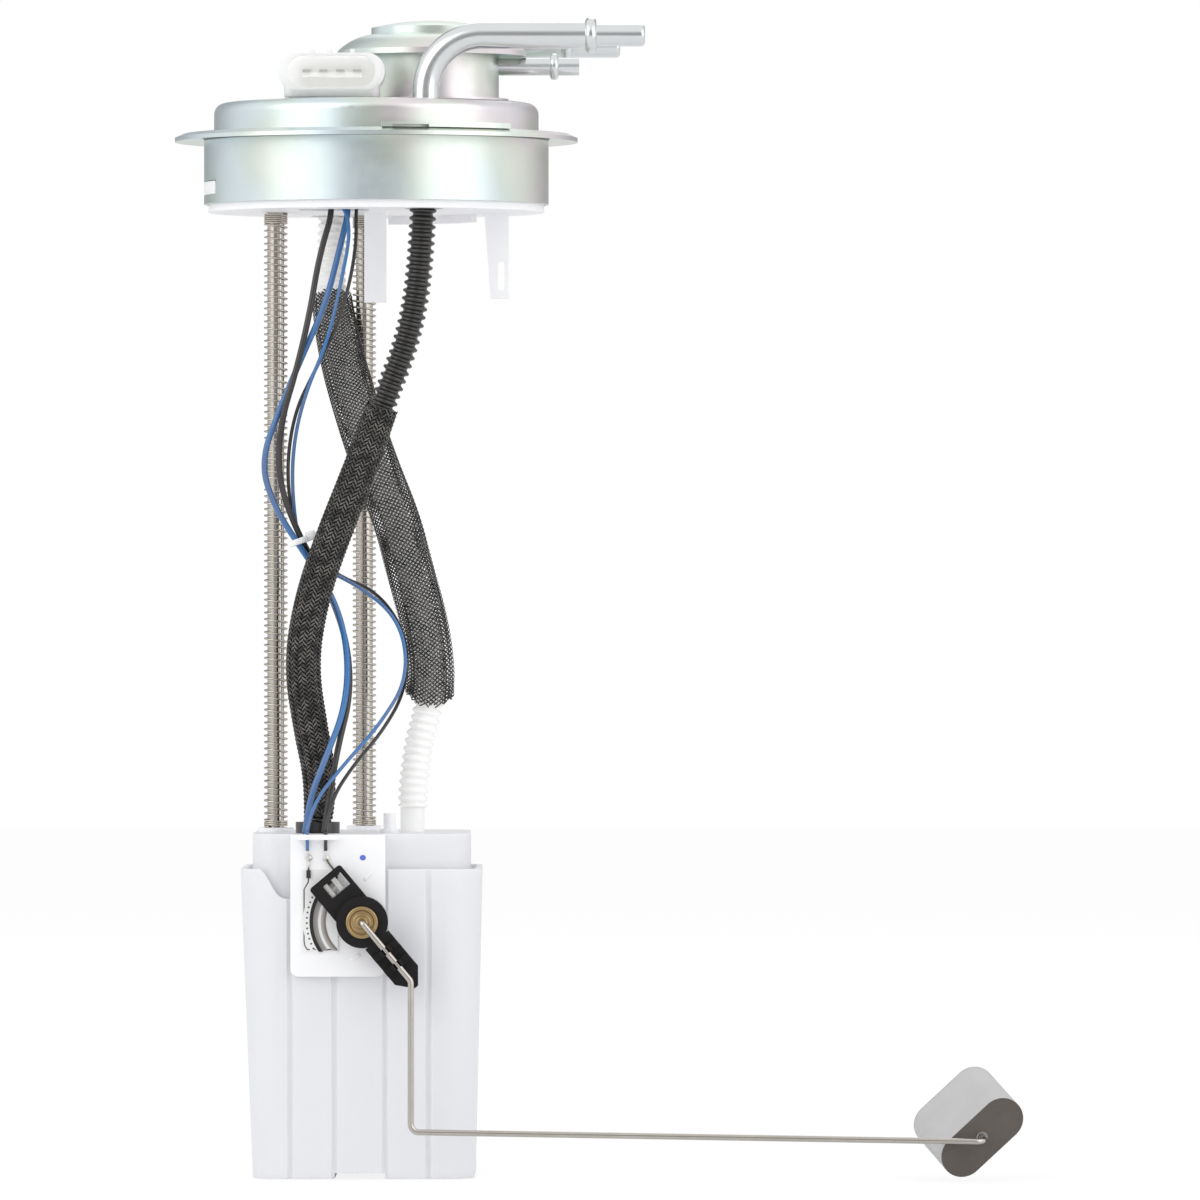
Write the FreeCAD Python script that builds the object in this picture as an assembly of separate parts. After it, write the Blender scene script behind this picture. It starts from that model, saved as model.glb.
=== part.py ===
"""Fuel pump module, in millimetres, +Z up, +X right, the sender side facing -Y.

The origin is the centre of the cover flange's flat underside, where the module
sits on the tank. The module hangs below it, with the reservoir fully extended.
"""
import FreeCAD
import Part

import math
import os

from FreeCAD import Vector

os.makedirs("parts", exist_ok=True)

# General clearances and sheet thicknesses
sheet = 1.5
slide_clearance = 0.08
pivot_clearance = 0.04
seat_clearance = 0.05
soft_clearance = 0.3

# Cover: flange, raised cap and the cup under it
flange_radius = 72.5
flange_droop = 1.3
flange_droop_width = 3.0
cap_radius = 58.4
cap_height = 12.6
cap_fillet = 4.0
tab_height = 1.9
tab_slot_height = 0.9
tab_slot_start_x = 7.0
tab_slot_end_x = 20.0
tab_start_x = 3.4
tab_end_x = 48.8
tab_edge = 2.0
tab_width = 8.0
cup_radius = 62.0
cup_depth = 23.8
cup_fillet = 0.25
cup_rebate = 0.3
cup_sheet = 1.2
slot_height = 5.0
slot_bottom_z = -20.6
slot_half_angle = 13.5
slot_angles = (30.0, 100.0, 190.0)

# Vent tower and its wide cap, with the roll-over valve inside
tower_x = 20.0
tower_radius = 24.1
tower_top_z = 30.0
tower_wall = 1.5
tower_base_radius = 27.6
tower_base_height = 1.6
dome_radius = 33.9
dome_bottom_z = 29.5
dome_rim_height = 2.0
dome_top_z = 37.4
dome_rise = 1.0
boss_radius = 21.8
boss_side_height = 2.4
boss_rise = 2.6
valve_body_radius = 14.0
valve_wall = 1.6
valve_bottom_z = -16.0
valve_shoulder_radius = 17.5
valve_shoulder_height = 2.5
valve_float_radius = 11.6
valve_float_height = 20.0
valve_float_lift = 6.0
valve_spring_radius = 6.0
valve_spring_wire = 0.9

# Steel tubes on the cover
tube_radius = 4.75
quick_end_radius = 3.97
bead_radius = 6.5
bead_width = 4.0
bead_round = 1.8
end_length = 17.3
tip_round = 1.5
tube_wall = 1.7
tube_bend_radius = 20.0
feed_x = 18.4
feed_y = -41.0
feed_z = 35.2
feed_bead_x = 77.2
return_x = -16.5
return_y = 41.0
return_bead_x = 68.5
nipple_bottom_z = -18.0
vent_z = 26.0
vent_radius = 3.2
vent_bore_radius = 2.4
vent_bead_radius = 4.8
vent_bead_width = 3.0
vent_bead_round = 1.3
vent_bead_x = 64.0
vent_length_after_bead = 9.0

# Electrical connector
connector_x = -15.1
connector_z = 22.2
connector_front_y = -46.0
connector_depth = 18.0
connector_width = 38.0
connector_height = 13.2
socket_width = 31.3
socket_height = 11.3
socket_floor = 3.0
base_width = 34.0
base_depth = 20.0
key_rib_size = 1.4
key_rib_xs = (-22.1, -16.0, -7.7)
terminal_pitch = 6.0
terminal_width = 2.8
terminal_thickness = 0.8
terminal_reach = 11.0
terminal_tail_z = -12.0
tongue_thickness = 1.6
gasket_thickness = 0.8
gasket_inset = 2.0

# White retainer snapped into the cup
retainer_radius = 60.4
retainer_top_z = -17.5
retainer_bottom_z = -26.6
retainer_wall = 2.0
tab_side_gap = 1.0
leg_thickness = 6.0
leg_1_x = (-4.5, 3.4)
leg_1_bottom_z = -58.7
leg_2_top_x = (38.7, 47.6)
leg_2_bottom_x = (41.1, 47.6)
leg_2_bottom_z = -57.4
leg_y = 6.0
rib_start_x = 3.8
rib_end_x = 36.0
rib_drop = 3.0
rib_radius = 37.5
rib_width = 2.0

# Guide rods, springs and clips
rod_radius = 3.0
left_rod_x = -36.2
left_rod_y = 0.0
right_rod_x = -5.0
right_rod_y = 32.0
rod_top_z = 8.0
rod_bottom_z = -268.0
spring_outer_radius = 4.3
spring_wire = 0.9
clip_outer_radius = 4.6
clip_thickness = 1.0

# Reservoir
reservoir_left_x = -48.0
reservoir_right_x = 37.9
reservoir_front_y = -38.0
reservoir_back_y = 46.0
reservoir_top_z = -262.0
reservoir_bottom_z = -372.5
reservoir_wall = 2.0
reservoir_floor = 3.6
floor_recess = 2.0
reservoir_corner = 12.0
reservoir_taper_left = 4.3
reservoir_taper_right = 2.4
flute_xs = (-30.0, -14.2, 3.8, 19.3)
flute_radius = 1.3
lid_left_x = -43.7
lid_right_x = 33.7
lid_top_z = -249.5
lid_skirt_z = -266.0
apron_bottom_z = -276.0
apron_overlap = 4.0
lid_plate = 2.4
lid_inset = 4.2
lid_corner = 9.0
guide_bore_radius = 5.4
guide_wall = 1.2
bush_collar_radius = 6.4
bush_collar_height = 1.6
guide_bottom_z = -334.0
bush_bottom_z = -262.0

# Pump and what it feeds
pump_x = 12.0
pump_y = 5.0
pump_radius = 17.0
pump_bottom_z = -352.0
pump_top_z = -274.0
pump_cap_height = 7.0
pump_nipple_radius = 3.35
isolator_wall = 2.0
isolator_height = 22.0
strainer_height = 8.0
strainer_length = 46.0
strainer_width = 26.0
strainer_corner = 6.0
jet_pump_x = -24.0
jet_pump_y = 24.0
valve_seat_radius = 7.0
regulator_x = -20.6
regulator_y = -20.0
regulator_radius = 9.5
regulator_height = 20.0
regulator_rim = 1.8
regulator_snout = 5.0

# Hoses and their sleeves
hose_radius = 4.85
hose_bore_radius = 3.4
sleeve_gap = 0.35
sleeve_wall = 0.8
wide_sleeve_radius = 7.6
wide_sleeve_bore = 6.4
natural_hose_radius = 5.0
collar_radius = 7.9
collar_height = 4.0
cuff_radius = 4.3
cuff_height = 9.0
fitting_radius = 2.2
fitting_height = 6.8
fitting_foot = 1.2

black_hose_points = (
    (17.8, -41.0, -18.5),
    (16.9, -40.5, -45.0),
    (12.6, -40.0, -72.0),
    (3.6, -39.0, -95.0),
    (-3.6, -37.0, -117.0),
    (-13.5, -33.0, -142.0),
    (-22.4, -28.0, -165.0),
    (-26.6, -24.0, -189.0),
    (-23.0, -21.0, -215.0),
    (-20.6, -20.0, -245.4),
)
natural_hose_points = (
    (-16.5, 41.0, -18.5),
    (-17.0, 40.5, -37.0),
    (-17.2, 34.5, -57.0),
    (-13.2, 21.5, -77.5),
    (-8.0, 8.0, -96.5),
    (-1.6, 0.5, -117.0),
    (6.6, -4.0, -137.5),
    (10.8, -5.0, -154.0),
    (18.0, -4.0, -178.0),
    (20.2, -2.0, -203.0),
    (13.6, 0.0, -224.0),
    (13.0, 0.0, -240.3),
)

# Wires
pump_wire_radius = 1.1
sender_wire_radius = 0.65
pump_black_points = (
    (-18.1, -27.4, -12.6),
    (-17.2, -27.4, -30.0),
    (-21.0, -28.0, -46.0),
    (-25.0, -27.0, -66.0),
    (-32.0, -25.0, -90.0),
    (-35.2, -24.0, -113.0),
    (-31.6, -22.5, -132.0),
    (-24.6, -20.5, -147.0),
    (-15.0, -18.0, -168.0),
    (-10.8, -19.5, -191.0),
    (-13.4, -27.0, -214.0),
    (-17.6, -32.0, -234.0),
    (-18.2, -30.6, -249.4),
)
pump_blue_points = (
    (-12.1, -27.4, -12.6),
    (-11.0, -27.6, -30.0),
    (-14.8, -29.0, -50.0),
    (-22.6, -29.0, -70.0),
    (-34.2, -27.5, -95.0),
    (-40.6, -26.5, -117.0),
    (-36.0, -25.0, -134.0),
    (-26.4, -23.0, -149.0),
    (-15.6, -20.4, -167.0),
    (-10.4, -22.4, -189.0),
    (-14.0, -30.0, -213.0),
    (-23.2, -33.0, -233.0),
    (-24.9, -30.6, -249.4),
)
sender_blue_points = (
    (-24.1, -27.4, -12.6),
    (-20.0, -33.0, -20.5),
    (-11.0, -33.6, -30.0),
    (-11.4, -33.4, -48.0),
    (-18.8, -32.4, -75.0),
    (-28.4, -29.6, -101.0),
    (-31.2, -27.6, -124.0),
    (-28.0, -25.8, -143.0),
    (-14.0, -22.6, -157.0),
    (4.0, -18.6, -168.0),
    (10.8, -18.0, -188.0),
    (1.0, -25.0, -211.0),
    (-13.4, -36.0, -229.0),
    (-24.2, -42.2, -241.0),
    (-24.9, -42.8, -248.6),
)
sender_black_points = (
    (-6.1, -27.4, -12.6),
    (-7.0, -28.4, -30.0),
    (-9.6, -29.6, -48.0),
    (-14.6, -29.2, -67.0),
    (-26.4, -27.4, -94.0),
    (-29.8, -25.2, -118.0),
    (-26.2, -21.4, -141.0),
    (-10.8, -16.2, -157.0),
    (5.2, 2.0, -170.0),
    (11.4, 9.0, -189.0),
    (4.0, -6.0, -212.0),
    (-9.6, -27.0, -228.0),
    (-17.4, -41.4, -240.0),
    (-18.2, -42.8, -248.6),
)
tie_x = -26.6
tie_y = -22.6
tie_z = -144.2
tie_width = 13.6
tie_depth = 10.2
tie_band = 1.1
tie_height = 2.4
tie_tilt = 17.0

# Sender: holder, card, tracks
holder_left_x = -29.8
holder_right_x = 4.0
holder_bottom_z = -300.2
holder_back_y = -38.3
holder_thickness = 3.2
holder_corner = 3.0
card_left_x = -25.7
card_right_x = -12.9
card_top_z = -262.0
card_bottom_z = -291.3
card_thickness = 0.8
track_thickness = 0.12
track_centres = (20.5, 18.6, 16.8, 14.0)
track_widths = (1.4, 1.3, 1.8, 1.8)
solder_xs = (-23.2, -17.1)
solder_z = -257.9
solder_radius = 1.3
chip_x = -23.3
chip_z = -263.6
chip_width = 1.5
chip_length = 2.8
clip_bar_bottom_z = -251.4

# Arm and float
pivot_x = -4.1
pivot_z = -280.6
bush_radius = 5.7
bush_length = 8.4
hub_radius = 9.2
hub_length = 6.6
arm_angle = 50.0
arm_plane_gap = 1.4
head_width = 14.1
head_start = 6.0
head_end = 21.0
window_width = 8.2
window_start = 13.2
window_end = 18.6
window_offset = 1.4
tail_width = 10.6
tail_shoulder = 24.6
tail_end = 30.0
tail_tip_width = 1.6
arm_thickness = 3.6
finger_width = 2.4
finger_height = 3.2
wire_radius = 1.1
wire_bend_radius = 3.0
wire_drop_x = 13.3
wire_elbow_z = -355.0
float_x = 217.6
float_z = -358.4
float_length = 42.0
float_arc_radius = 7.85
float_spacing = 18.9
float_roll = 43.0
float_lean_x = -8.7
float_lean_z = 9.5
float_lean_y = 40.0
float_pin_length = 49.4
float_bore_clearance = 0.08
push_nut_radius = 3.2
push_nut_thickness = 0.6

# Further seats, openings and ports
leg_2_slot_x = (43.7, 46.1)
leg_2_slot_z = (-54.6, -43.9)
hose_opening_radius = 6.8
wire_opening_x = (-27.0, -2.0)
wire_opening_y = (-38.0, -22.0)
rod_head_radius = 6.0
clip_bore_radius = 2.5
reservoir_taper_front = 1.5
rim_notch = (
    (-44.5, -261.0),
    (-39.4, -263.4),
    (-36.8, -267.6),
    (-34.4, -271.2),
    (-29.4, -272.4),
)
check_valve_x = -30.0
check_valve_y = 4.0
lid_wall = 1.8
cradle_bottom_z = -306.0
cradle_height = 14.0
cradle_strap = 6.0
outlet_radius = 3.45
return_port_x = 13.0
return_port_y = 0.0
vent_port_x = 4.9
vent_port_y = -6.0
pump_wire_opening_x = (-27.0, -16.0)
pump_wire_opening_y = (-31.9, -29.0)
elbow_x = 4.0
elbow_y = 2.0
elbow_z = -259.0
elbow_start_z = -270.0
elbow_bend = 5.0
fitting_reach = 4.0
regulator_top_z = -266.0
strainer_top_z = -360.5
strainer_left_x = -16.0
jet_pump_height = 12.0
jet_pump_width = 13.0
jet_pump_radius = 5.0
jet_pump_wall = 1.4
jet_pump_top_z = -330.0
return_spout_z = -256.0
return_spout_reach = 7.0
natural_bore_radius = 3.4
black_sleeve_top_z = -95.6
wide_sleeve_top_z = -55.5
wide_sleeve_bottom_z = -204.4
holder_top_z = -249.6
boss_outer_radius = 4.8
journal_radius = 3.3
clip_bar_reach = 4.4
clip_bar_y = -43.8
clip_bar_wall = 1.2
pump_black_lead = (
    (-18.2, -30.6, -249.9),
    (-16.0, -30.2, -257.5),
    (-3.0, -25.5, -260.5),
    (12.0, -10.5, -262.5),
    (13.6, -9.0, -273.7),
)
pump_blue_lead = (
    (-24.9, -30.6, -249.9),
    (-23.6, -30.4, -260.0),
    (-2.0, -29.0, -263.5),
    (8.0, -20.5, -263.0),
    (17.0, -11.0, -262.0),
    (18.4, -8.6, -273.6),
)
lead_gap = 0.2
finger_starts = (12.0, 18.4)
finger_wall = 1.2
contact_gap = 2.0
contact_width = 1.8
contact_sheet = 0.3
contact_start = 9.6
contact_end = 20.4
hub_bend_radius = 1.4
float_offset = 5.4
least_run = 8.0

# Values worked out from the ones above
cup_bore = cup_radius - cup_sheet
tab_outer_radius = flange_radius - tab_edge
tab_angle_start = math.degrees(math.acos(tab_end_x / tab_outer_radius))
tab_angle_end = math.degrees(math.acos(tab_start_x / tab_outer_radius))
base_bottom_z = cap_height + gasket_thickness
base_back_y = connector_front_y + 3.0 + base_depth
rod_bore_radius = rod_radius + slide_clearance
clip_top_z = bush_bottom_z - seat_clearance
guide_radius = guide_bore_radius + guide_wall
lid_front_y = reservoir_front_y + lid_inset
lid_back_y = reservoir_back_y - lid_inset
floor_top_z = reservoir_bottom_z + reservoir_floor
holder_front_y = holder_back_y - holder_thickness
card_front_y = holder_front_y - card_thickness
track_front_y = card_front_y - track_thickness
pump_seat_radius = pump_radius + isolator_wall
hub_back_y = track_front_y - arm_plane_gap
hub_front_y = hub_back_y - hub_length
bush_front_y = hub_back_y - bush_length
wire_y = bush_front_y - wire_radius - 0.4
float_axis = Vector(float_lean_x, float_lean_y, float_lean_z).normalize()
float_corner = Vector(float_x, wire_y, float_z)
left_rod = (left_rod_x, left_rod_y)
right_rod = (right_rod_x, right_rod_y)


# Basic shapes
def cylinder(x, y, bottom, top, radius):
    return Part.makeCylinder(radius, top - bottom, Vector(x, y, bottom))


def ring(x, y, bottom, top, outer, inner):
    hole = cylinder(x, y, bottom - 1.0, top + 1.0, inner)
    return cylinder(x, y, bottom, top, outer).cut(hole)


def box(x0, x1, y0, y1, z0, z1):
    return Part.makeBox(x1 - x0, y1 - y0, z1 - z0, Vector(x0, y0, z0))


def rod_between(start, end, radius):
    start = Vector(*start)
    line = Vector(*end) - start
    return Part.makeCylinder(radius, line.Length, start, line)


def turned(points, x, y):
    """A solid turned about the upright line through x, y from (radius, z) corners."""
    wire = Part.makePolygon([Vector(x + r, y, z) for r, z in points + points[:1]])
    return Part.Face(wire).revolve(Vector(x, y, 0), Vector(0, 0, 1), 360)


def round_edges(shape, radius, z, edge_radius):
    """Fillet the full circles of one radius at one height."""
    edges = []
    for edge in shape.Edges:
        curve = edge.Curve
        if isinstance(curve, Part.Circle) and abs(curve.Radius - edge_radius) < 0.01:
            if abs(curve.Center.z - z) < 0.01:
                edges.append(edge)
    return shape.makeFillet(radius, edges)


def round_outline(x0, x1, y0, y1, z, radius):
    """A level rectangle with rounded corners, as a closed wire."""
    corner = radius * (1 - math.sqrt(0.5))
    edges = []
    starts = (
        (x1 - radius, y0, x1 - corner, y0 + corner, x1, y0 + radius),
        (x1, y1 - radius, x1 - corner, y1 - corner, x1 - radius, y1),
        (x0 + radius, y1, x0 + corner, y1 - corner, x0, y1 - radius),
        (x0, y0 + radius, x0 + corner, y0 + corner, x0 + radius, y0),
    )
    previous = Vector(x0 + radius, y0, z)
    for ax, ay, mx, my, bx, by in starts:
        a = Vector(ax, ay, z)
        b = Vector(bx, by, z)
        edges.append(Part.LineSegment(previous, a).toShape())
        edges.append(Part.Arc(a, Vector(mx, my, z), b).toShape())
        previous = b
    return Part.Wire(edges)


def round_plate(x0, x1, y0, y1, z0, z1, radius):
    face = Part.Face(round_outline(x0, x1, y0, y1, z0, radius))
    return face.extrude(Vector(0, 0, z1 - z0))


def upright_plate(x0, x1, z0, z1, y_front, y_back, radius):
    """A plate in the X-Z plane with rounded corners."""
    plate = round_plate(x0, x1, z0, z1, 0, y_back - y_front, radius)
    plate.rotate(Vector(0, 0, 0), Vector(1, 0, 0), 90)
    plate.translate(Vector(0, y_back, 0))
    return plate


def sector_ring(bottom, top, outer, inner, centre_angle, half_angle):
    start = FreeCAD.Rotation(Vector(0, 0, 1), centre_angle - half_angle)
    solid = Part.makeCylinder(
        outer, top - bottom, Vector(0, 0, bottom), Vector(0, 0, 1), 2 * half_angle
    )
    solid = solid.cut(cylinder(0, 0, bottom - 1.0, top + 1.0, inner))
    solid.rotate(Vector(0, 0, 0), start.Axis, math.degrees(start.Angle))
    return solid


# Bent tubes, wires and hoses
def bent_path(points, radii):
    """Straight runs joined by tangent arcs of the given radii."""
    points = [Vector(*p) for p in points]
    edges = []
    here = points[0]
    for i in range(1, len(points) - 1):
        into = (points[i] - points[i - 1]).normalize()
        out = (points[i + 1] - points[i]).normalize()
        turn = into.getAngle(out)
        setback = radii[i - 1] * math.tan(turn / 2)
        bisector = (out - into).normalize()
        depth = radii[i - 1] * (1 / math.cos(turn / 2) - 1)
        start = points[i] - into * setback
        end = points[i] + out * setback
        edges.append(Part.LineSegment(here, start).toShape())
        edges.append(Part.Arc(start, points[i] + bisector * depth, end).toShape())
        here = end
    edges.append(Part.LineSegment(here, points[-1]).toShape())
    return Part.Wire(edges)


def cord_radii(points):
    """Each bend's radius: 0.45 of its shorter run over the tangent of half the turn."""
    points = [Vector(*p) for p in points]
    radii = []
    for before, here, after in zip(points, points[1:], points[2:]):
        shorter = min((here - before).Length, (after - here).Length)
        turn = (here - before).getAngle(after - here)
        radii.append(0.45 * shorter / math.tan(turn / 2))
    return radii


def swept(path, outer, inner=0.0):
    start = path.Edges[0]
    centre = start.valueAt(start.FirstParameter)
    along = start.tangentAt(start.FirstParameter)
    face = Part.Face(Part.Wire(Part.makeCircle(outer, centre, along)))
    solid = Part.Wire(path.Edges).makePipe(face)
    if not inner:
        return solid
    hole = Part.Face(Part.Wire(Part.makeCircle(inner, centre, along)))
    return solid.cut(Part.Wire(path.Edges).makePipe(hole))


def cord(name, points, outer, inner=0.0):
    """A hose or wire along its route, with its radii and volume printed."""
    radii = cord_radii(points)
    path = bent_path(points, radii)
    solid = swept(path, outer, inner)
    expected = math.pi * (outer**2 - inner**2) * path.Length
    print(name, "length", round(path.Length, 1), "radii", [round(r) for r in radii])
    print(name, "volume over section times length", round(solid.Volume / expected, 4))
    return solid


def points_between(points, top_z, bottom_z):
    """The route from one height to another, with its ends cut on the runs."""
    inside = [p for p in points if bottom_z + least_run < p[2] < top_z - least_run]

    def crossing(z):
        for a, b in zip(points, points[1:]):
            if a[2] >= z >= b[2]:
                share = (a[2] - z) / (a[2] - b[2])
                return tuple(a[k] + share * (b[k] - a[k]) for k in range(3))
        return None

    start = crossing(top_z)
    end = crossing(bottom_z)
    return [p for p in [start] + inside + [end] if p]


# Cover
def make_cover_plate():
    profile = [
        (0, cap_height - sheet),
        (cap_radius - sheet, cap_height - sheet),
        (cap_radius - sheet, cup_rebate),
        (cup_radius + seat_clearance, cup_rebate),
        (cup_radius + seat_clearance, 0),
        (flange_radius - flange_droop_width, 0),
        (flange_radius, -flange_droop),
        (flange_radius, sheet - flange_droop),
        (flange_radius - flange_droop_width, sheet),
        (cap_radius, sheet),
        (cap_radius, cap_height),
        (0, cap_height),
    ]
    plate = turned(profile, 0, 0)
    plate = round_edges(plate, cap_fillet, cap_height, cap_radius)
    plate = round_edges(plate, cap_fillet - sheet, cap_height - sheet, cap_radius - sheet)
    tab = sector_ring(
        sheet, sheet + tab_height, tab_outer_radius, tab_outer_radius - tab_width,
        -(tab_angle_start + tab_angle_end) / 2, (tab_angle_end - tab_angle_start) / 2,
    )
    slot_start = math.degrees(math.acos(tab_slot_end_x / tab_outer_radius))
    slot_end = math.degrees(math.acos(tab_slot_start_x / tab_outer_radius))
    slot = sector_ring(
        sheet, sheet + tab_slot_height, tab_outer_radius + 1, tab_outer_radius - tab_width / 2,
        -(slot_start + slot_end) / 2, (slot_end - slot_start) / 2,
    )
    plate = plate.fuse(tab.cut(slot))
    through_bottom = cap_height - 2 * sheet
    through_top = cap_height + 1
    holes = [
        cylinder(tower_x, 0, through_bottom, through_top, valve_body_radius + seat_clearance),
        cylinder(feed_x, feed_y, through_bottom, through_top, tube_radius),
        cylinder(return_x, return_y, through_bottom, through_top, tube_radius),
        box(*throat_x(soft_clearance), *throat_y(soft_clearance), through_bottom, through_top),
    ]
    for hole in holes:
        plate = plate.cut(hole)
    return plate.removeSplitter()


def throat_x(gap):
    half = 1.5 * terminal_pitch + terminal_width
    return connector_x - half - gap, connector_x + half + gap


def throat_y(gap):
    return base_back_y - 8.0 - gap, base_back_y - 1.5 + gap


def make_skirt_cup():
    lip = cap_radius - sheet
    cup = turned([(lip, cup_rebate), (cup_radius, cup_rebate), (cup_radius, -cup_depth),
                  (cup_bore, -cup_depth), (cup_bore, cup_rebate - cup_sheet),
                  (lip, cup_rebate - cup_sheet)], 0, 0)
    cup = round_edges(cup, cup_fillet, cup_rebate, cup_radius)
    for angle in slot_angles:
        cup = cup.cut(sector_ring(
            slot_bottom_z, slot_bottom_z + slot_height, cup_radius + 1, cup_bore - 1,
            angle, slot_half_angle,
        ))
    return cup


# Vent tower and roll-over valve
def make_vent_tower():
    inner = tower_radius - tower_wall
    profile = [
        (inner, cap_height),
        (tower_base_radius, cap_height),
        (tower_base_radius, cap_height + tower_base_height),
        (tower_radius, cap_height + tower_base_height),
        (tower_radius, tower_top_z),
        (valve_body_radius, tower_top_z),
        (valve_body_radius, tower_top_z - tower_wall),
        (inner, tower_top_z - tower_wall),
    ]
    tower = turned(profile, tower_x, 0)
    vent_hole = rod_between((tower_x, 0, vent_z), (tower_x + tower_radius + 2, 0, vent_z), vent_radius)
    return tower.cut(vent_hole)


def cap_form(inset):
    """The cap as a solid: a rim, a domed shoulder, the boss's side and its crowned top."""
    rim = Vector(dome_radius - inset, 0, dome_bottom_z + dome_rim_height)
    foot = Vector(boss_radius - inset, 0, dome_top_z - inset)
    shoulder = (rim + foot) / 2 + Vector(dome_rise / 2, 0, dome_rise)
    edge = foot + Vector(0, 0, boss_side_height)
    top = edge + Vector(-edge.x, 0, boss_rise)
    crown_radius = (edge.x ** 2 + boss_rise ** 2) / (2 * boss_rise)
    half_turn = math.asin(edge.x / crown_radius) / 2
    crown_x = crown_radius * math.sin(half_turn)
    crown = Vector(crown_x, 0, top.z - crown_radius * (1 - math.cos(half_turn)))
    base = Vector(dome_radius - inset, 0, dome_bottom_z)
    centre = Vector(0, 0, dome_bottom_z)
    face = Part.Face(Part.Wire([
        Part.LineSegment(centre, base).toShape(),
        Part.LineSegment(base, rim).toShape(),
        Part.Arc(rim, shoulder, foot).toShape(),
        Part.LineSegment(foot, edge).toShape(),
        Part.Arc(edge, crown, top).toShape(),
        Part.LineSegment(top, centre).toShape(),
    ]))
    form = face.revolve(centre, Vector(0, 0, 1), 360)
    form.translate(Vector(tower_x, 0, 0))
    return form


def make_tower_cap():
    cap = cap_form(0).cut(cap_form(sheet))
    collar = ring(tower_x, 0, tower_top_z, dome_top_z - sheet, tower_radius, tower_radius - tower_wall)
    return cap.fuse(collar).removeSplitter()


def make_valve_body():
    inner = valve_body_radius - valve_wall
    shoulder_bottom = cap_height - sheet - valve_shoulder_height
    profile = [
        (2.5, valve_bottom_z),
        (valve_body_radius, valve_bottom_z),
        (valve_body_radius, shoulder_bottom),
        (valve_shoulder_radius, shoulder_bottom),
        (valve_shoulder_radius, cap_height - sheet),
        (valve_body_radius, cap_height - sheet),
        (valve_body_radius, cap_height + 2.0),
        (2.5, cap_height + 2.0),
        (2.5, cap_height),
        (inner, cap_height),
        (inner, valve_bottom_z + valve_wall),
        (2.5, valve_bottom_z + valve_wall),
    ]
    return turned(profile, tower_x, 0)


def make_valve_float():
    bottom = valve_bottom_z + valve_wall
    spring_pocket = ring(
        tower_x, 0, bottom - 1, bottom + valve_float_lift,
        valve_spring_radius + 0.6, valve_spring_radius - valve_spring_wire - 0.6,
    )
    body = cylinder(tower_x, 0, bottom + 1.0, bottom + valve_float_height, valve_float_radius)
    needle = Part.makeCone(3.0, 1.2, 2.0, Vector(tower_x, 0, bottom + valve_float_height))
    return body.fuse(needle).cut(spring_pocket)


def make_valve_spring():
    bottom = valve_bottom_z + valve_wall
    return ring(
        tower_x, 0, bottom, bottom + valve_float_lift,
        valve_spring_radius, valve_spring_radius - valve_spring_wire,
    )


# Steel tubes
def ring_edges(shape, radius):
    """The full circles of one radius, in order along X."""
    edges = [edge for edge in shape.Edges
             if isinstance(edge.Curve, Part.Circle) and abs(edge.Curve.Radius - radius) < 0.01]
    return sorted(edges, key=lambda edge: edge.Curve.Center.x)


def make_cover_tube(x, y, bead_x):
    bend = bent_path(
        [(x, y, nipple_bottom_z), (x, y, feed_z), (bead_x, y, feed_z)], [tube_bend_radius]
    )
    tube = swept(bend, tube_radius)
    bead = rod_between((bead_x - bead_width / 2, y, feed_z), (bead_x + bead_width / 2, y, feed_z),
                       bead_radius)
    bead = bead.makeFillet(bead_round, ring_edges(bead, bead_radius))
    end = rod_between((bead_x, y, feed_z), (bead_x + end_length + bead_width / 2, y, feed_z),
                      quick_end_radius)
    end = end.makeFillet(tip_round, ring_edges(end, quick_end_radius)[-1:])
    tube = tube.fuse([bead, end])
    bore_path = bent_path(
        [(x, y, nipple_bottom_z - 1), (x, y, feed_z), (bead_x + end_length + 5, y, feed_z)],
        [tube_bend_radius],
    )
    return tube.cut(swept(bore_path, quick_end_radius - tube_wall)).removeSplitter()


def make_vent_tube():
    start = tower_x + tower_radius - tower_wall
    end = vent_bead_x + vent_length_after_bead
    tube = rod_between((start, 0, vent_z), (end, 0, vent_z), vent_radius)
    bead = rod_between((vent_bead_x - vent_bead_width / 2, 0, vent_z),
                       (vent_bead_x + vent_bead_width / 2, 0, vent_z), vent_bead_radius)
    tube = tube.fuse(bead.makeFillet(vent_bead_round, ring_edges(bead, vent_bead_radius)))
    bore = rod_between((start - 1, 0, vent_z), (end + 1, 0, vent_z), vent_bore_radius)
    return tube.cut(bore).removeSplitter()


# Electrical connector
def stadium(width, height, y_front, y_back, x=None, z=None):
    x = connector_x if x is None else x
    z = connector_z if z is None else z
    return upright_plate(x - width / 2, x + width / 2, z - height / 2, z + height / 2,
                         y_front, y_back, height / 2 - 0.01)


def terminal_xs():
    return [connector_x + (i - 1.5) * terminal_pitch for i in range(4)]


def make_terminal(x):
    half = terminal_width / 2
    back = base_back_y - 4.0
    tip = connector_front_y + connector_depth - socket_floor - terminal_reach
    blade = box(x - half, x + half, tip, back, connector_z, connector_z + terminal_thickness)
    tail = box(x - half, x + half, back - terminal_thickness, back, terminal_tail_z,
               connector_z + terminal_thickness)
    return blade.fuse(tail).removeSplitter()


def make_connector_terminals():
    return Part.makeCompound([make_terminal(x) for x in terminal_xs()])


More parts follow.
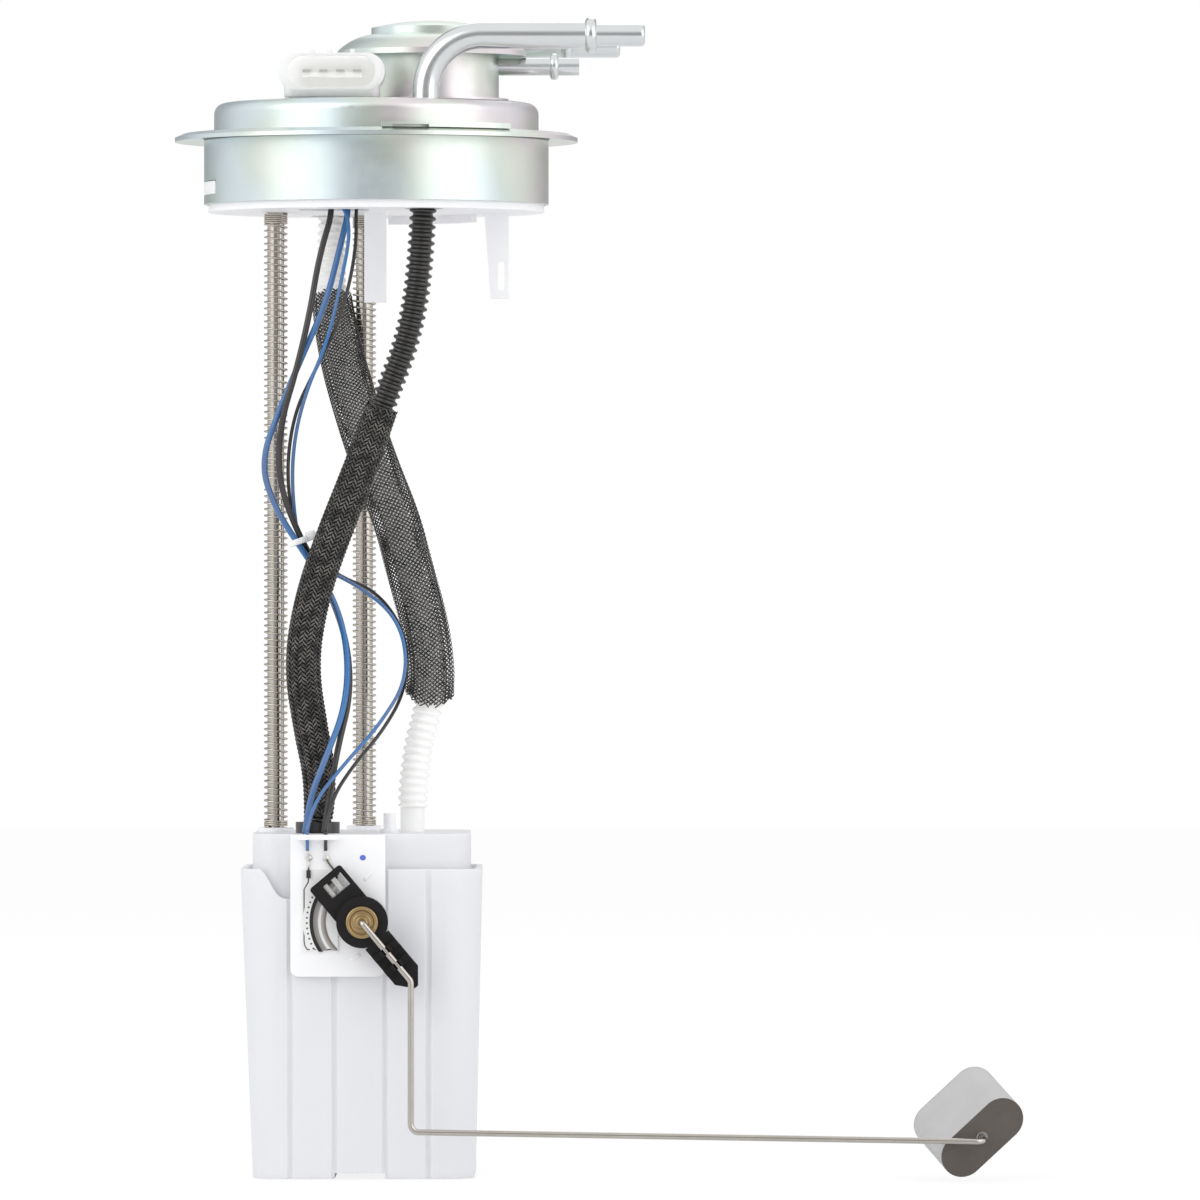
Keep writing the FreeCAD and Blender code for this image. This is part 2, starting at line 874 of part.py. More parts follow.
def make_connector_shell():
    back_y = connector_front_y + connector_depth
    shell = stadium(connector_width, connector_height, connector_front_y, back_y)
    socket_back = back_y - socket_floor
    shell = shell.cut(stadium(socket_width, socket_height, connector_front_y - 1, socket_back))
    half = base_width / 2
    base = round_plate(connector_x - half, connector_x + half, base_back_y - base_depth,
                       base_back_y, base_bottom_z, connector_z - connector_height / 4, 3.0)
    base = base.cut(stadium(connector_width - 1, connector_height - 1, connector_front_y, back_y))
    rear = box(*throat_x(2.0), back_y - 1.0, base_back_y - 0.5, base_bottom_z + 1,
               connector_z + connector_height / 2 - 2)
    throat = box(*throat_x(0), *throat_y(0), cap_height - sheet - 4.0, base_bottom_z + 1)
    shell = shell.fuse([base, rear, throat])
    shell = shell.cut(stadium(socket_width, socket_height, connector_front_y - 1, socket_back))
    top = connector_z + connector_height / 2
    ribs = [
        box(x - key_rib_size / 2, x + key_rib_size / 2, connector_front_y + 1, back_y,
            top - 0.5, top + key_rib_size)
        for x in key_rib_xs
    ]
    tongue = box(connector_x - socket_width / 2 + 5, connector_x + socket_width / 2 - 5,
                 socket_back - terminal_reach + 3, socket_back + 0.5,
                 connector_z - tongue_thickness, connector_z)
    shell = shell.fuse(ribs + [tongue])
    return shell.cut(make_connector_terminals()).removeSplitter()


def make_connector_gasket():
    half = base_width / 2 - gasket_inset
    pad = round_plate(connector_x - half, connector_x + half, base_back_y - base_depth + gasket_inset,
                      base_back_y - gasket_inset / 2, cap_height, base_bottom_z, gasket_inset)
    return pad.cut(box(*throat_x(0), *throat_y(0), cap_height - 1, base_bottom_z + 1))


# Retainer
def make_retainer():
    plate_top = retainer_bottom_z + retainer_wall
    body = cylinder(0, 0, retainer_bottom_z, plate_top, retainer_radius)
    body = body.fuse(ring(0, 0, plate_top, retainer_top_z, retainer_radius,
                          retainer_radius - retainer_wall))
    for angle in slot_angles:
        body = body.fuse(sector_ring(
            slot_bottom_z + seat_clearance, slot_bottom_z + slot_height - soft_clearance,
            cup_radius - seat_clearance, retainer_radius - retainer_wall / 2, angle,
            slot_half_angle - tab_side_gap,
        ))
    leg_1 = box(*leg_1_x, leg_y, leg_y + leg_thickness, leg_1_bottom_z, plate_top)
    leg_1 = leg_1.cut(box(leg_1_x[0] + 1.4, leg_1_x[1] - 1.4, leg_y + 1.4,
                          leg_y + leg_thickness + 1, leg_1_bottom_z - 1, retainer_bottom_z))
    corners = (
        (leg_2_top_x[0], plate_top), (leg_2_top_x[1], plate_top),
        (leg_2_bottom_x[1], leg_2_bottom_z), (leg_2_bottom_x[0], leg_2_bottom_z),
        (leg_2_top_x[0], plate_top),
    )
    face = Part.Face(Part.makePolygon([Vector(x, 0, z) for x, z in corners]))
    leg_2 = face.extrude(Vector(0, leg_thickness, 0))
    leg_2 = leg_2.cut(upright_plate(leg_2_slot_x[0], leg_2_slot_x[1], leg_2_slot_z[0],
                                    leg_2_slot_z[1], -1, leg_thickness + 1, 1.1))
    rib_start = math.degrees(math.acos(rib_end_x / rib_radius))
    rib_end = math.degrees(math.acos(rib_start_x / rib_radius))
    rib = sector_ring(retainer_bottom_z - rib_drop, plate_top, rib_radius, rib_radius - rib_width,
                      (rib_start + rib_end) / 2, (rib_end - rib_start) / 2)
    body = body.fuse([leg_1, leg_2, rib])
    openings = [
        cylinder(*left_rod, retainer_bottom_z - 1, plate_top + 1, rod_bore_radius + soft_clearance),
        cylinder(*right_rod, retainer_bottom_z - 1, plate_top + 1, rod_bore_radius + soft_clearance),
        cylinder(black_hose_points[0][0], black_hose_points[0][1], retainer_bottom_z - 1,
                 plate_top + 1, hose_opening_radius),
        cylinder(natural_hose_points[0][0], natural_hose_points[0][1] - 3, retainer_bottom_z - 1,
                 plate_top + 1, hose_opening_radius + 1.5),
        round_plate(*wire_opening_x, *wire_opening_y, retainer_bottom_z - 1, plate_top + 1, 3.0),
    ]
    for opening in openings:
        body = body.cut(opening)
    return body.removeSplitter()


# Guide rods, clips and springs
def make_rod(place):
    rod = cylinder(*place, rod_bottom_z, rod_top_z, rod_radius)
    head = cylinder(*place, rod_top_z, cap_height - sheet, rod_head_radius)
    groove = ring(*place, clip_top_z - clip_thickness, clip_top_z, rod_radius + 1, clip_bore_radius)
    return rod.fuse(head).cut(groove).removeSplitter()


def make_clip(place):
    clip = ring(*place, clip_top_z - clip_thickness, clip_top_z, clip_outer_radius, clip_bore_radius)
    mouth = box(place[0] - 1.6, place[0] + 1.6, place[1] - clip_outer_radius - 1, place[1],
                clip_top_z - clip_thickness - 1, clip_top_z + 1)
    return clip.cut(mouth)


def make_spring(place, bottom_z):
    return ring(*place, bottom_z + bush_collar_height, retainer_bottom_z, spring_outer_radius,
                spring_outer_radius - spring_wire)


# Cable tie
def make_cable_tie():
    centre = Vector(tie_x, tie_y, tie_z)
    outer = round_plate(tie_x - tie_width / 2, tie_x + tie_width / 2, tie_y - tie_depth / 2,
                        tie_y + tie_depth / 2, tie_z - tie_height / 2, tie_z + tie_height / 2, 3.4)
    inner = round_plate(tie_x - tie_width / 2 + tie_band, tie_x + tie_width / 2 - tie_band,
                        tie_y - tie_depth / 2 + tie_band, tie_y + tie_depth / 2 - tie_band,
                        tie_z - tie_height, tie_z + tie_height, 2.3)
    head = box(tie_x + tie_width / 2 - 1, tie_x + tie_width / 2 + 3, tie_y - 2.4, tie_y + 2.4,
               tie_z - 1.9, tie_z + 1.9)
    tie = outer.fuse(head).cut(inner).removeSplitter()
    tie.rotate(centre, Vector(0, 1, 0), -tie_tilt)
    return tie


# Reservoir
def reservoir_section(z, inset):
    share = (reservoir_top_z - z) / (reservoir_top_z - reservoir_bottom_z)
    return round_outline(
        reservoir_left_x + inset + share * reservoir_taper_left,
        reservoir_right_x - inset - share * reservoir_taper_right,
        reservoir_front_y + inset + share * reservoir_taper_front,
        reservoir_back_y - inset - share * reservoir_taper_front,
        z, reservoir_corner - inset,
    )


def make_rim_notch():
    """The rim falls in a curve to the left of the sender's holder."""
    y = reservoir_front_y - 1
    curve = Part.BSplineCurve()
    curve.interpolate([Vector(x, y, z) for x, z in rim_notch])
    first, last = rim_notch[0], rim_notch[-1]
    over = reservoir_top_z + 2
    back = Part.makePolygon([Vector(last[0], y, last[1]), Vector(last[0], y, over),
                             Vector(first[0], y, over), Vector(first[0], y, first[1])])
    face = Part.Face(Part.Wire([curve.toShape()] + back.Edges))
    return face.extrude(Vector(0, reservoir_wall + 2, 0))


def make_reservoir_cup():
    outer = Part.makeLoft([reservoir_section(reservoir_bottom_z, 0),
                           reservoir_section(reservoir_top_z, 0)], True, True)
    inner = Part.makeLoft([reservoir_section(floor_top_z, reservoir_wall),
                           reservoir_section(reservoir_top_z + 1, reservoir_wall)], True, True)
    cup = outer.cut(inner)
    for x in flute_xs:
        groove = rod_between((x, reservoir_front_y - 0.3, reservoir_top_z + 1),
                             (x, reservoir_front_y + reservoir_taper_front - 0.3,
                              reservoir_bottom_z - 1), flute_radius)
        cup = cup.cut(groove)
    cup = cup.cut(box(flute_xs[1], flute_xs[2], reservoir_front_y - 1, reservoir_back_y + 1,
                      reservoir_bottom_z - 1, reservoir_bottom_z + floor_recess))
    cup = cup.cut(make_rim_notch())
    seat = cylinder(check_valve_x, check_valve_y, reservoir_bottom_z - 1, floor_top_z + 1, 2.0)
    ports = [
        cylinder(check_valve_x + 4.6 * math.cos(a), check_valve_y + 4.6 * math.sin(a),
                 reservoir_bottom_z - 1, floor_top_z + 1, 1.3)
        for a in [math.radians(60 * i) for i in range(6)]
    ]
    for hole in [seat] + ports:
        cup = cup.cut(hole)
    return cup.removeSplitter()


def make_lid_apron():
    """The lid's skirt runs further down behind the dip in the cup's rim."""
    skirt = round_plate(lid_left_x, lid_right_x, lid_front_y, lid_back_y, apron_bottom_z,
                        lid_skirt_z, lid_corner)
    skirt = skirt.cut(round_plate(lid_left_x + lid_wall, lid_right_x - lid_wall,
                                  lid_front_y + lid_wall, lid_back_y - lid_wall,
                                  apron_bottom_z - 1, lid_skirt_z + 1, lid_corner - lid_wall))
    return skirt.common(box(lid_left_x - 1, holder_left_x + apron_overlap, lid_front_y - 1,
                            lid_front_y + lid_corner, apron_bottom_z, lid_skirt_z))


def make_reservoir_lid():
    plate_bottom = lid_top_z - lid_plate
    lid = round_plate(lid_left_x, lid_right_x, lid_front_y, lid_back_y, lid_skirt_z, lid_top_z,
                      lid_corner)
    lid = lid.cut(round_plate(lid_left_x + lid_wall, lid_right_x - lid_wall,
                              lid_front_y + lid_wall, lid_back_y - lid_wall,
                              lid_skirt_z - 1, plate_bottom, lid_corner - lid_wall))
    lid = lid.fuse(make_lid_apron())
    for place in (left_rod, right_rod):
        lid = lid.fuse(cylinder(*place, guide_bottom_z, plate_bottom, guide_radius))
    cradle = ring(pump_x, pump_y, cradle_bottom_z, cradle_bottom_z + cradle_height,
                  pump_seat_radius + lid_wall, pump_seat_radius)
    lid = lid.fuse(cradle)
    for side in (-1, 1):
        x = pump_x + side * (pump_seat_radius + lid_wall / 2)
        lid = lid.fuse(box(x - lid_wall / 2, x + lid_wall / 2, pump_y - cradle_strap / 2,
                           pump_y + cradle_strap / 2, cradle_bottom_z, lid_top_z - lid_plate / 2))
    for place in (left_rod, right_rod):
        lid = lid.cut(cylinder(*place, guide_bottom_z - 1, lid_top_z + 1, guide_bore_radius))
    passages = (
        (regulator_x, regulator_y, outlet_radius),
        (return_port_x, return_port_y, outlet_radius),
        (vent_port_x, vent_port_y, fitting_radius / 2),
    )
    for x, y, radius in passages:
        lid = lid.cut(cylinder(x, y, plate_bottom - 1, lid_top_z + 1, radius))
    lid = lid.cut(round_plate(*pump_wire_opening_x, *pump_wire_opening_y, plate_bottom - 1,
                              lid_top_z + 1, 1.4))
    return lid.removeSplitter()


def make_guide_bush(place):
    bush = cylinder(*place, bush_bottom_z, lid_top_z, guide_bore_radius - seat_clearance)
    bush = bush.fuse(cylinder(*place, lid_top_z, lid_top_z + bush_collar_height, bush_collar_radius))
    return bush.cut(cylinder(*place, bush_bottom_z - 1, lid_top_z + 5, rod_bore_radius)).removeSplitter()


# Pump and fuel path
def make_fuel_pump():
    bottom = pump_bottom_z + pump_cap_height
    top = pump_top_z - pump_cap_height
    can = cylinder(pump_x, pump_y, bottom, top, pump_radius)
    return can


def make_pump_inlet():
    bottom = pump_bottom_z
    cap = cylinder(pump_x, pump_y, bottom, bottom + pump_cap_height, pump_radius - 0.6)
    nipple = cylinder(pump_x, pump_y, strainer_top_z, bottom + 1, pump_nipple_radius + 1.4)
    return cap.fuse(nipple).cut(
        cylinder(pump_x, pump_y, strainer_top_z - 1, bottom + 4, pump_nipple_radius)
    ).removeSplitter()


def make_pump_outlet():
    bottom = pump_top_z - pump_cap_height
    cap = cylinder(pump_x, pump_y, bottom, pump_top_z, pump_radius - 0.6)
    nipple = cylinder(elbow_x, elbow_y, pump_top_z - 1, elbow_start_z, pump_nipple_radius - 0.8)
    return cap.fuse(nipple).removeSplitter()


def make_outlet_elbow():
    points = [
        (elbow_x, elbow_y, pump_top_z + seat_clearance),
        (elbow_x, elbow_y, elbow_z),
        (regulator_x, regulator_y, elbow_z),
        (regulator_x, regulator_y, lid_top_z + fitting_reach),
    ]
    elbow = swept(bent_path(points, [elbow_bend, elbow_bend]), pump_nipple_radius)
    branch = cylinder(regulator_x, regulator_y, regulator_top_z, elbow_z + 2, pump_nipple_radius)
    socket = cylinder(elbow_x, elbow_y, pump_top_z - 1, elbow_start_z + seat_clearance,
                      pump_nipple_radius - 0.8)
    return elbow.fuse(branch).cut(socket).removeSplitter()


def make_regulator():
    top = regulator_top_z
    body = cylinder(regulator_x, regulator_y, top - regulator_height, top, regulator_radius)
    rim_top = top - regulator_height * 0.35
    rim = cylinder(regulator_x, regulator_y, rim_top - regulator_rim, rim_top,
                   regulator_radius + regulator_rim)
    bottom = top - regulator_height
    snout = cylinder(regulator_x, regulator_y, bottom - regulator_snout, bottom,
                     regulator_radius / 3)
    return body.fuse([rim, snout]).removeSplitter()


def make_isolator():
    bottom = cradle_bottom_z - (isolator_height - cradle_height) / 2
    return ring(pump_x, pump_y, bottom, bottom + isolator_height,
                pump_seat_radius - seat_clearance, pump_radius)


def make_strainer():
    sock = round_plate(strainer_left_x, strainer_left_x + strainer_length,
                       pump_y - strainer_width / 2, pump_y + strainer_width / 2,
                       strainer_top_z - strainer_height, strainer_top_z, strainer_corner)
    return sock


def make_jet_pump():
    half = jet_pump_width / 2
    base = box(jet_pump_x - half, jet_pump_x + half, jet_pump_y - half, jet_pump_y + half,
               floor_top_z, floor_top_z + jet_pump_height)
    riser = cylinder(jet_pump_x, jet_pump_y, floor_top_z + jet_pump_height / 2,
                     jet_pump_top_z, jet_pump_radius)
    bore = cylinder(jet_pump_x, jet_pump_y, floor_top_z + jet_pump_height / 4,
                    jet_pump_top_z + 1, jet_pump_radius - jet_pump_wall)
    return base.fuse(riser).cut(bore).removeSplitter()


def make_check_valve():
    disc = Part.makeCone(valve_seat_radius, 3.0, 1.6, Vector(check_valve_x, check_valve_y, floor_top_z))
    stem = cylinder(check_valve_x, check_valve_y, reservoir_bottom_z + 0.4, floor_top_z + 1, 1.8)
    return disc.fuse(stem).removeSplitter()


def make_return_spout():
    outer = natural_bore_radius - seat_clearance
    return ring(return_port_x, return_port_y, return_spout_z, lid_top_z + return_spout_reach,
                outer, outer - 1.0)


def make_hose_cuff():
    return ring(return_port_x, return_port_y, lid_top_z, lid_top_z + cuff_height, cuff_radius,
                natural_bore_radius)


def make_hose_collar():
    return ring(regulator_x, regulator_y, lid_top_z, lid_top_z + collar_height, collar_radius,
                hose_radius + sleeve_gap + sleeve_wall)


def make_vent_fitting():
    top = lid_top_z + fitting_height
    post = cylinder(vent_port_x, vent_port_y, lid_top_z, top, fitting_radius)
    foot = cylinder(vent_port_x, vent_port_y, lid_top_z, lid_top_z + fitting_foot,
                    fitting_radius + fitting_foot)
    bore = cylinder(vent_port_x, vent_port_y, lid_top_z - 1, top + 1, fitting_radius / 2)
    return post.fuse(foot).cut(bore).removeSplitter()


# Sender
def make_sender_holder():
    plate = upright_plate(holder_left_x, holder_right_x, holder_bottom_z, holder_top_z,
                          holder_front_y, holder_back_y, holder_corner)
    shelf = box(holder_left_x, holder_right_x, holder_back_y - 1, lid_front_y - seat_clearance,
                reservoir_top_z + seat_clearance, holder_top_z)
    boss = rod_between((pivot_x, holder_front_y + 1, pivot_z),
                       (pivot_x, hub_back_y + soft_clearance, pivot_z), boss_outer_radius)
    bar_left = solder_xs[0] - clip_bar_reach
    bar_right = solder_xs[1] + clip_bar_reach
    bar = box(bar_left, bar_right, clip_bar_y - clip_bar_wall, clip_bar_y, clip_bar_bottom_z,
              holder_top_z)
    posts = [
        box(x, x + clip_bar_wall, clip_bar_y - 0.5, holder_front_y + 1, clip_bar_bottom_z, holder_top_z)
        for x in (bar_left, bar_right - clip_bar_wall)
    ]
    holder = plate.fuse([shelf, boss, bar] + posts)
    bore = rod_between((pivot_x, holder_back_y + 2, pivot_z), (pivot_x, hub_back_y - 1, pivot_z),
                       journal_radius + pivot_clearance)
    return holder.cut(bore).removeSplitter()


def make_sender_card():
    return box(card_left_x, card_right_x, card_front_y, holder_front_y, card_bottom_z, card_top_z)


def make_resistor_tracks():
    window = box(card_left_x + 0.5, card_right_x - 0.3, track_front_y - 1, card_front_y + 1,
                 card_bottom_z + 0.4, card_top_z - 0.4)
    tracks = []
    for centre, width in zip(track_centres, track_widths):
        front = (pivot_x, track_front_y, pivot_z)
        back = (pivot_x, card_front_y, pivot_z)
        track = rod_between(back, front, centre + width / 2)
        hole_front = (pivot_x, track_front_y - 1, pivot_z)
        hole_back = (pivot_x, card_front_y + 1, pivot_z)
        track = track.cut(rod_between(hole_back, hole_front, centre - width / 2))
        tracks.append(track.common(window))
    return Part.makeCompound([solid for track in tracks for solid in track.Solids])


def make_solder_joints():
    blobs = []
    for x in solder_xs:
        blob = Part.makeSphere(solder_radius, Vector(x, holder_front_y, solder_z))
        blobs.append(blob.cut(box(x - 3, x + 3, holder_front_y, holder_front_y + 3,
                                  solder_z - 3, solder_z + 3)))
    return Part.makeCompound(blobs)


def make_chip():
    return box(chip_x - chip_width / 2, chip_x + chip_width / 2, card_front_y - 0.9, card_front_y,
               chip_z - chip_length / 2, chip_z + chip_length / 2)


def make_sender_wire_ends():
    ends = []
    for x, route in zip(solder_xs, (sender_blue_points, sender_black_points)):
        top = (route[-1][0], route[-1][1], route[-1][2] - lead_gap)
        foot = (x, holder_front_y - sender_wire_radius - 0.2, solder_z + solder_radius + seat_clearance)
        ends.append(rod_between(top, foot, sender_wire_radius))
    return Part.makeCompound(ends)


def make_pump_wire_ends():
    ends = []
    for points in (pump_black_lead, pump_blue_lead):
        ends.append(swept(bent_path(points, cord_radii(points)), pump_wire_radius))
    return Part.makeCompound(ends)


# Arm and float
def turned_on_pivot(shape, angle):
    shape.rotate(Vector(pivot_x, 0, pivot_z), Vector(0, -1, 0), angle)
    return shape


def make_wiper_carrier():
    hub = rod_between((pivot_x, hub_back_y, pivot_z), (pivot_x, hub_front_y, pivot_z), hub_radius)
    half = head_width / 2
    head = box(pivot_x + head_start, pivot_x + head_end, hub_back_y - arm_thickness, hub_back_y,
               pivot_z - half, pivot_z + half)
    head = head.makeFillet(1.2, [e for e in head.Edges if abs(e.tangentAt(e.FirstParameter).y) > 0.99
                                 and e.CenterOfMass.x > pivot_x + head_end - 1])
    window_z = pivot_z - window_offset
    window = box(pivot_x + window_start, pivot_x + window_end, hub_back_y - arm_thickness - 1,
                 hub_back_y + 1, window_z - window_width / 2, window_z + window_width / 2)
    head = turned_on_pivot(head.cut(window), 180 - arm_angle)
    half = tail_width / 2
    tail_front = wire_y + wire_radius + seat_clearance
    tip = tail_tip_width / 2
    outline = [(hub_radius - 1, -half), (tail_shoulder, -half), (tail_end, -tip), (tail_end, tip),
               (tail_shoulder, half), (hub_radius - 1, half)]
    corners = [Vector(pivot_x + x, hub_front_y, pivot_z + z) for x, z in outline + outline[:1]]
    tail = Part.Face(Part.makePolygon(corners)).extrude(Vector(0, hub_back_y - 2 - hub_front_y, 0))
    pads = []
    for start in finger_starts:
        pads.append(box(pivot_x + start, pivot_x + start + finger_width, tail_front,
                        hub_front_y + 0.5, pivot_z - half, pivot_z + half))
        for side in (-1, 1):
            near = pivot_z + side * (wire_radius + seat_clearance)
            far = near + side * finger_wall
            pads.append(box(pivot_x + start, pivot_x + start + finger_width,
                            wire_y - finger_height / 2, tail_front + 0.2,
                            min(near, far), max(near, far)))
    tail = turned_on_pivot(tail.fuse(pads), -arm_angle)
    carrier = hub.fuse([head, tail])
    bore = rod_between((pivot_x, hub_back_y + 1, pivot_z), (pivot_x, hub_front_y - 3, pivot_z), bush_radius)
    return carrier.cut(bore).removeSplitter()


def make_pivot_bush():
    bush = rod_between((pivot_x, hub_back_y, pivot_z), (pivot_x, bush_front_y, pivot_z), bush_radius)
    journal = rod_between((pivot_x, holder_back_y - 0.2, pivot_z), (pivot_x, hub_back_y - 1, pivot_z),
                          journal_radius)
    groove = rod_between((pivot_x, bush_front_y + 0.5, pivot_z), (pivot_x, bush_front_y - 1, pivot_z), 4.4)
    nose = rod_between((pivot_x, bush_front_y + 1, pivot_z), (pivot_x, bush_front_y, pivot_z), 2.9)
    bush = bush.cut(groove).fuse([journal, nose])
    bore = rod_between((pivot_x, holder_back_y + 1, pivot_z), (pivot_x, bush_front_y - 1, pivot_z), wire_radius)
    return bush.cut(bore).removeSplitter()


def make_wiper_contacts():
    fingers = []
    for side in (-1, 1):
        near = pivot_z + side * contact_gap / 2
        far = near + side * contact_width
        z0, z1 = min(near, far), max(near, far)
        strip = box(pivot_x + contact_start, pivot_x + contact_end, hub_back_y, hub_back_y + contact_sheet,
                    z0, z1)
        tip_radius = track_centres[1] if side > 0 else track_centres[3]
        tip = box(pivot_x + tip_radius - 0.5, pivot_x + tip_radius + 0.5, hub_back_y,
                  track_front_y - 0.1, z0, z1)
        fingers.append(strip.fuse(tip))
    bridge = box(pivot_x + contact_end - 1.2, pivot_x + contact_end, hub_back_y,
                 hub_back_y + contact_sheet, pivot_z - contact_gap, pivot_z + contact_gap)
    return turned_on_pivot(fingers[0].fuse([fingers[1], bridge]).removeSplitter(), 180 - arm_angle)


def make_arm_wire():
    knee_z = pivot_z - (wire_drop_x - pivot_x) * math.tan(math.radians(arm_angle))
    points = [
        (pivot_x, holder_back_y - 1, pivot_z),
        (pivot_x, wire_y, pivot_z),
        (wire_drop_x, wire_y, knee_z),
        (wire_drop_x, wire_y, wire_elbow_z),
        tuple(float_corner),
        tuple(float_corner + float_axis * float_pin_length),
    ]
    bends = [hub_bend_radius, wire_bend_radius, wire_bend_radius, wire_bend_radius]
    return swept(bent_path(points, bends), wire_radius)


def make_float():
    half = float_spacing / 2 + float_arc_radius
    body = upright_plate(-half, half, -float_arc_radius, float_arc_radius, 0, float_length,
                         float_arc_radius - 0.01)
    body = body.cut(rod_between((0, -1, 0), (0, float_length + 1, 0), wire_radius + float_bore_clearance))
    body = body.cut(rod_between((0, -1, 0), (0, 1.2, 0), 2.2))
    body.rotate(Vector(0, 0, 0), Vector(0, -1, 0), float_roll)
    lean = FreeCAD.Rotation(Vector(0, 1, 0), float_axis)
    body.rotate(Vector(0, 0, 0), lean.Axis, math.degrees(lean.Angle))
    body.translate(float_corner + float_axis * float_offset)
    return body


def make_push_nut():
    start = float_corner + float_axis * (float_offset + float_length + soft_clearance)
    end = start + float_axis * push_nut_thickness
    return rod_between(tuple(start), tuple(end), push_nut_radius).cut(
        rod_between(tuple(start - float_axis), tuple(end + float_axis), wire_radius))


# Hoses and sleeves
def make_black_hose():
    return cord("black_hose", black_hose_points, hose_radius, hose_bore_radius)


def make_black_sleeve():
    route = points_between(black_hose_points, black_sleeve_top_z, black_hose_points[-1][2])
    return cord("black_hose_sleeve", route, hose_radius + sleeve_gap + sleeve_wall,
                hose_radius + sleeve_gap)


def make_natural_hose():
    return cord("natural_hose", natural_hose_points, natural_hose_radius, natural_bore_radius)


def make_natural_sleeve():
    route = points_between(natural_hose_points, wide_sleeve_top_z, wide_sleeve_bottom_z)
    return cord("natural_hose_sleeve", route, wide_sleeve_radius, wide_sleeve_bore)


parts = {
    "cover_plate": make_cover_plate(),
    "skirt_cup": make_skirt_cup(),
    "vent_tower": make_vent_tower(),
    "tower_cap": make_tower_cap(),
    "rollover_valve_body": make_valve_body(),
    "rollover_valve_float": make_valve_float(),
    "rollover_valve_spring": make_valve_spring(),
    "feed_tube": make_cover_tube(feed_x, feed_y, feed_bead_x),
    "return_tube": make_cover_tube(return_x, return_y, return_bead_x),
    "vent_tube": make_vent_tube(),
    "connector_shell": make_connector_shell(),
    "connector_terminals": make_connector_terminals(),
    "connector_gasket": make_connector_gasket(),
    "retainer": make_retainer(),
    "left_guide_rod": make_rod(left_rod),
    "right_guide_rod": make_rod(right_rod),
    "left_rod_clip": make_clip(left_rod),
    "right_rod_clip": make_clip(right_rod),
    "left_spring": make_spring(left_rod, lid_top_z),
    "right_spring": make_spring(right_rod, lid_top_z),
    "black_hose": make_black_hose(),
    "black_hose_sleeve": make_black_sleeve(),
    "natural_hose": make_natural_hose(),
    "natural_hose_sleeve": make_natural_sleeve(),
    "pump_wire_black": cord("pump_wire_black", pump_black_points, pump_wire_radius),
    "pump_wire_blue": cord("pump_wire_blue", pump_blue_points, pump_wire_radius),
    "sender_wire_blue": cord("sender_wire_blue", sender_blue_points, sender_wire_radius),
    "sender_wire_black": cord("sender_wire_black", sender_black_points, sender_wire_radius),
    "cable_tie": make_cable_tie(),
    "reservoir_cup": make_reservoir_cup(),
    "reservoir_lid": make_reservoir_lid(),
    "left_guide_bush": make_guide_bush(left_rod),
    "right_guide_bush": make_guide_bush(right_rod),
    "fuel_pump": make_fuel_pump(),
    "pump_inlet_end": make_pump_inlet(),
    "pump_outlet_end": make_pump_outlet(),
    "pump_isolator": make_isolator(),
    "outlet_elbow": make_outlet_elbow(),
    "pressure_regulator": make_regulator(),
    "inlet_strainer": make_strainer(),
    "jet_pump": make_jet_pump(),
    "check_valve": make_check_valve(),
    "return_spout": make_return_spout(),
    "natural_hose_cuff": make_hose_cuff(),
    "hose_collar": make_hose_collar(),
    "vent_fitting": make_vent_fitting(),
    "sender_holder": make_sender_holder(),
    "sender_card": make_sender_card(),
    "resistor_tracks": make_resistor_tracks(),
    "solder_joints": make_solder_joints(),
    "chip_resistor": make_chip(),
    "sender_wire_ends": make_sender_wire_ends(),
    "pump_wire_ends": make_pump_wire_ends(),
    "wiper_carrier": make_wiper_carrier(),
    "pivot_bush": make_pivot_bush(),
    "wiper_contacts": make_wiper_contacts(),
    "arm_wire": make_arm_wire(),
    "push_nut": make_push_nut(),
    "float": make_float(),
}

for name, shape in parts.items():
    if not shape.isValid() or not shape.Solids:
        print("check", name, shape.isValid(), len(shape.Solids))
    shape.exportStep("parts/" + name + ".step")
print(len(parts), "parts")
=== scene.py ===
import bmesh
import bpy
import numpy as np
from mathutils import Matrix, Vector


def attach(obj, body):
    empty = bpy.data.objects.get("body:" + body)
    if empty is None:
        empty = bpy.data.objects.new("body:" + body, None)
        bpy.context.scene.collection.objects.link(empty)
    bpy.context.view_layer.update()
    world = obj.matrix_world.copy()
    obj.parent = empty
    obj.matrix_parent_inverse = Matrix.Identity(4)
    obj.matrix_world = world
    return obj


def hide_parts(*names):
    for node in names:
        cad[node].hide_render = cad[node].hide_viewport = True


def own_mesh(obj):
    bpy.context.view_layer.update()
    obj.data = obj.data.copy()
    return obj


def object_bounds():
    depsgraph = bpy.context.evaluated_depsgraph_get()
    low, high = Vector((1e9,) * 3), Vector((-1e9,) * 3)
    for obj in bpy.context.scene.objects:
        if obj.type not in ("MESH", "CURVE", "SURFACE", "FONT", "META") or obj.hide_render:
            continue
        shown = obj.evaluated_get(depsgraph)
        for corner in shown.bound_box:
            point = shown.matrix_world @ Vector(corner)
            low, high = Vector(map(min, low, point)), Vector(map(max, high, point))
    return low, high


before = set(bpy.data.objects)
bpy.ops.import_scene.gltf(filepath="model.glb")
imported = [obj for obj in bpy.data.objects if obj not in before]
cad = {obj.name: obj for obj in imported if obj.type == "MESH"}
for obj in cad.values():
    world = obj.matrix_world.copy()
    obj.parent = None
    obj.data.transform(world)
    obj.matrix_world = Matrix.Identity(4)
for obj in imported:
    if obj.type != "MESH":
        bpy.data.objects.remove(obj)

cad_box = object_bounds()

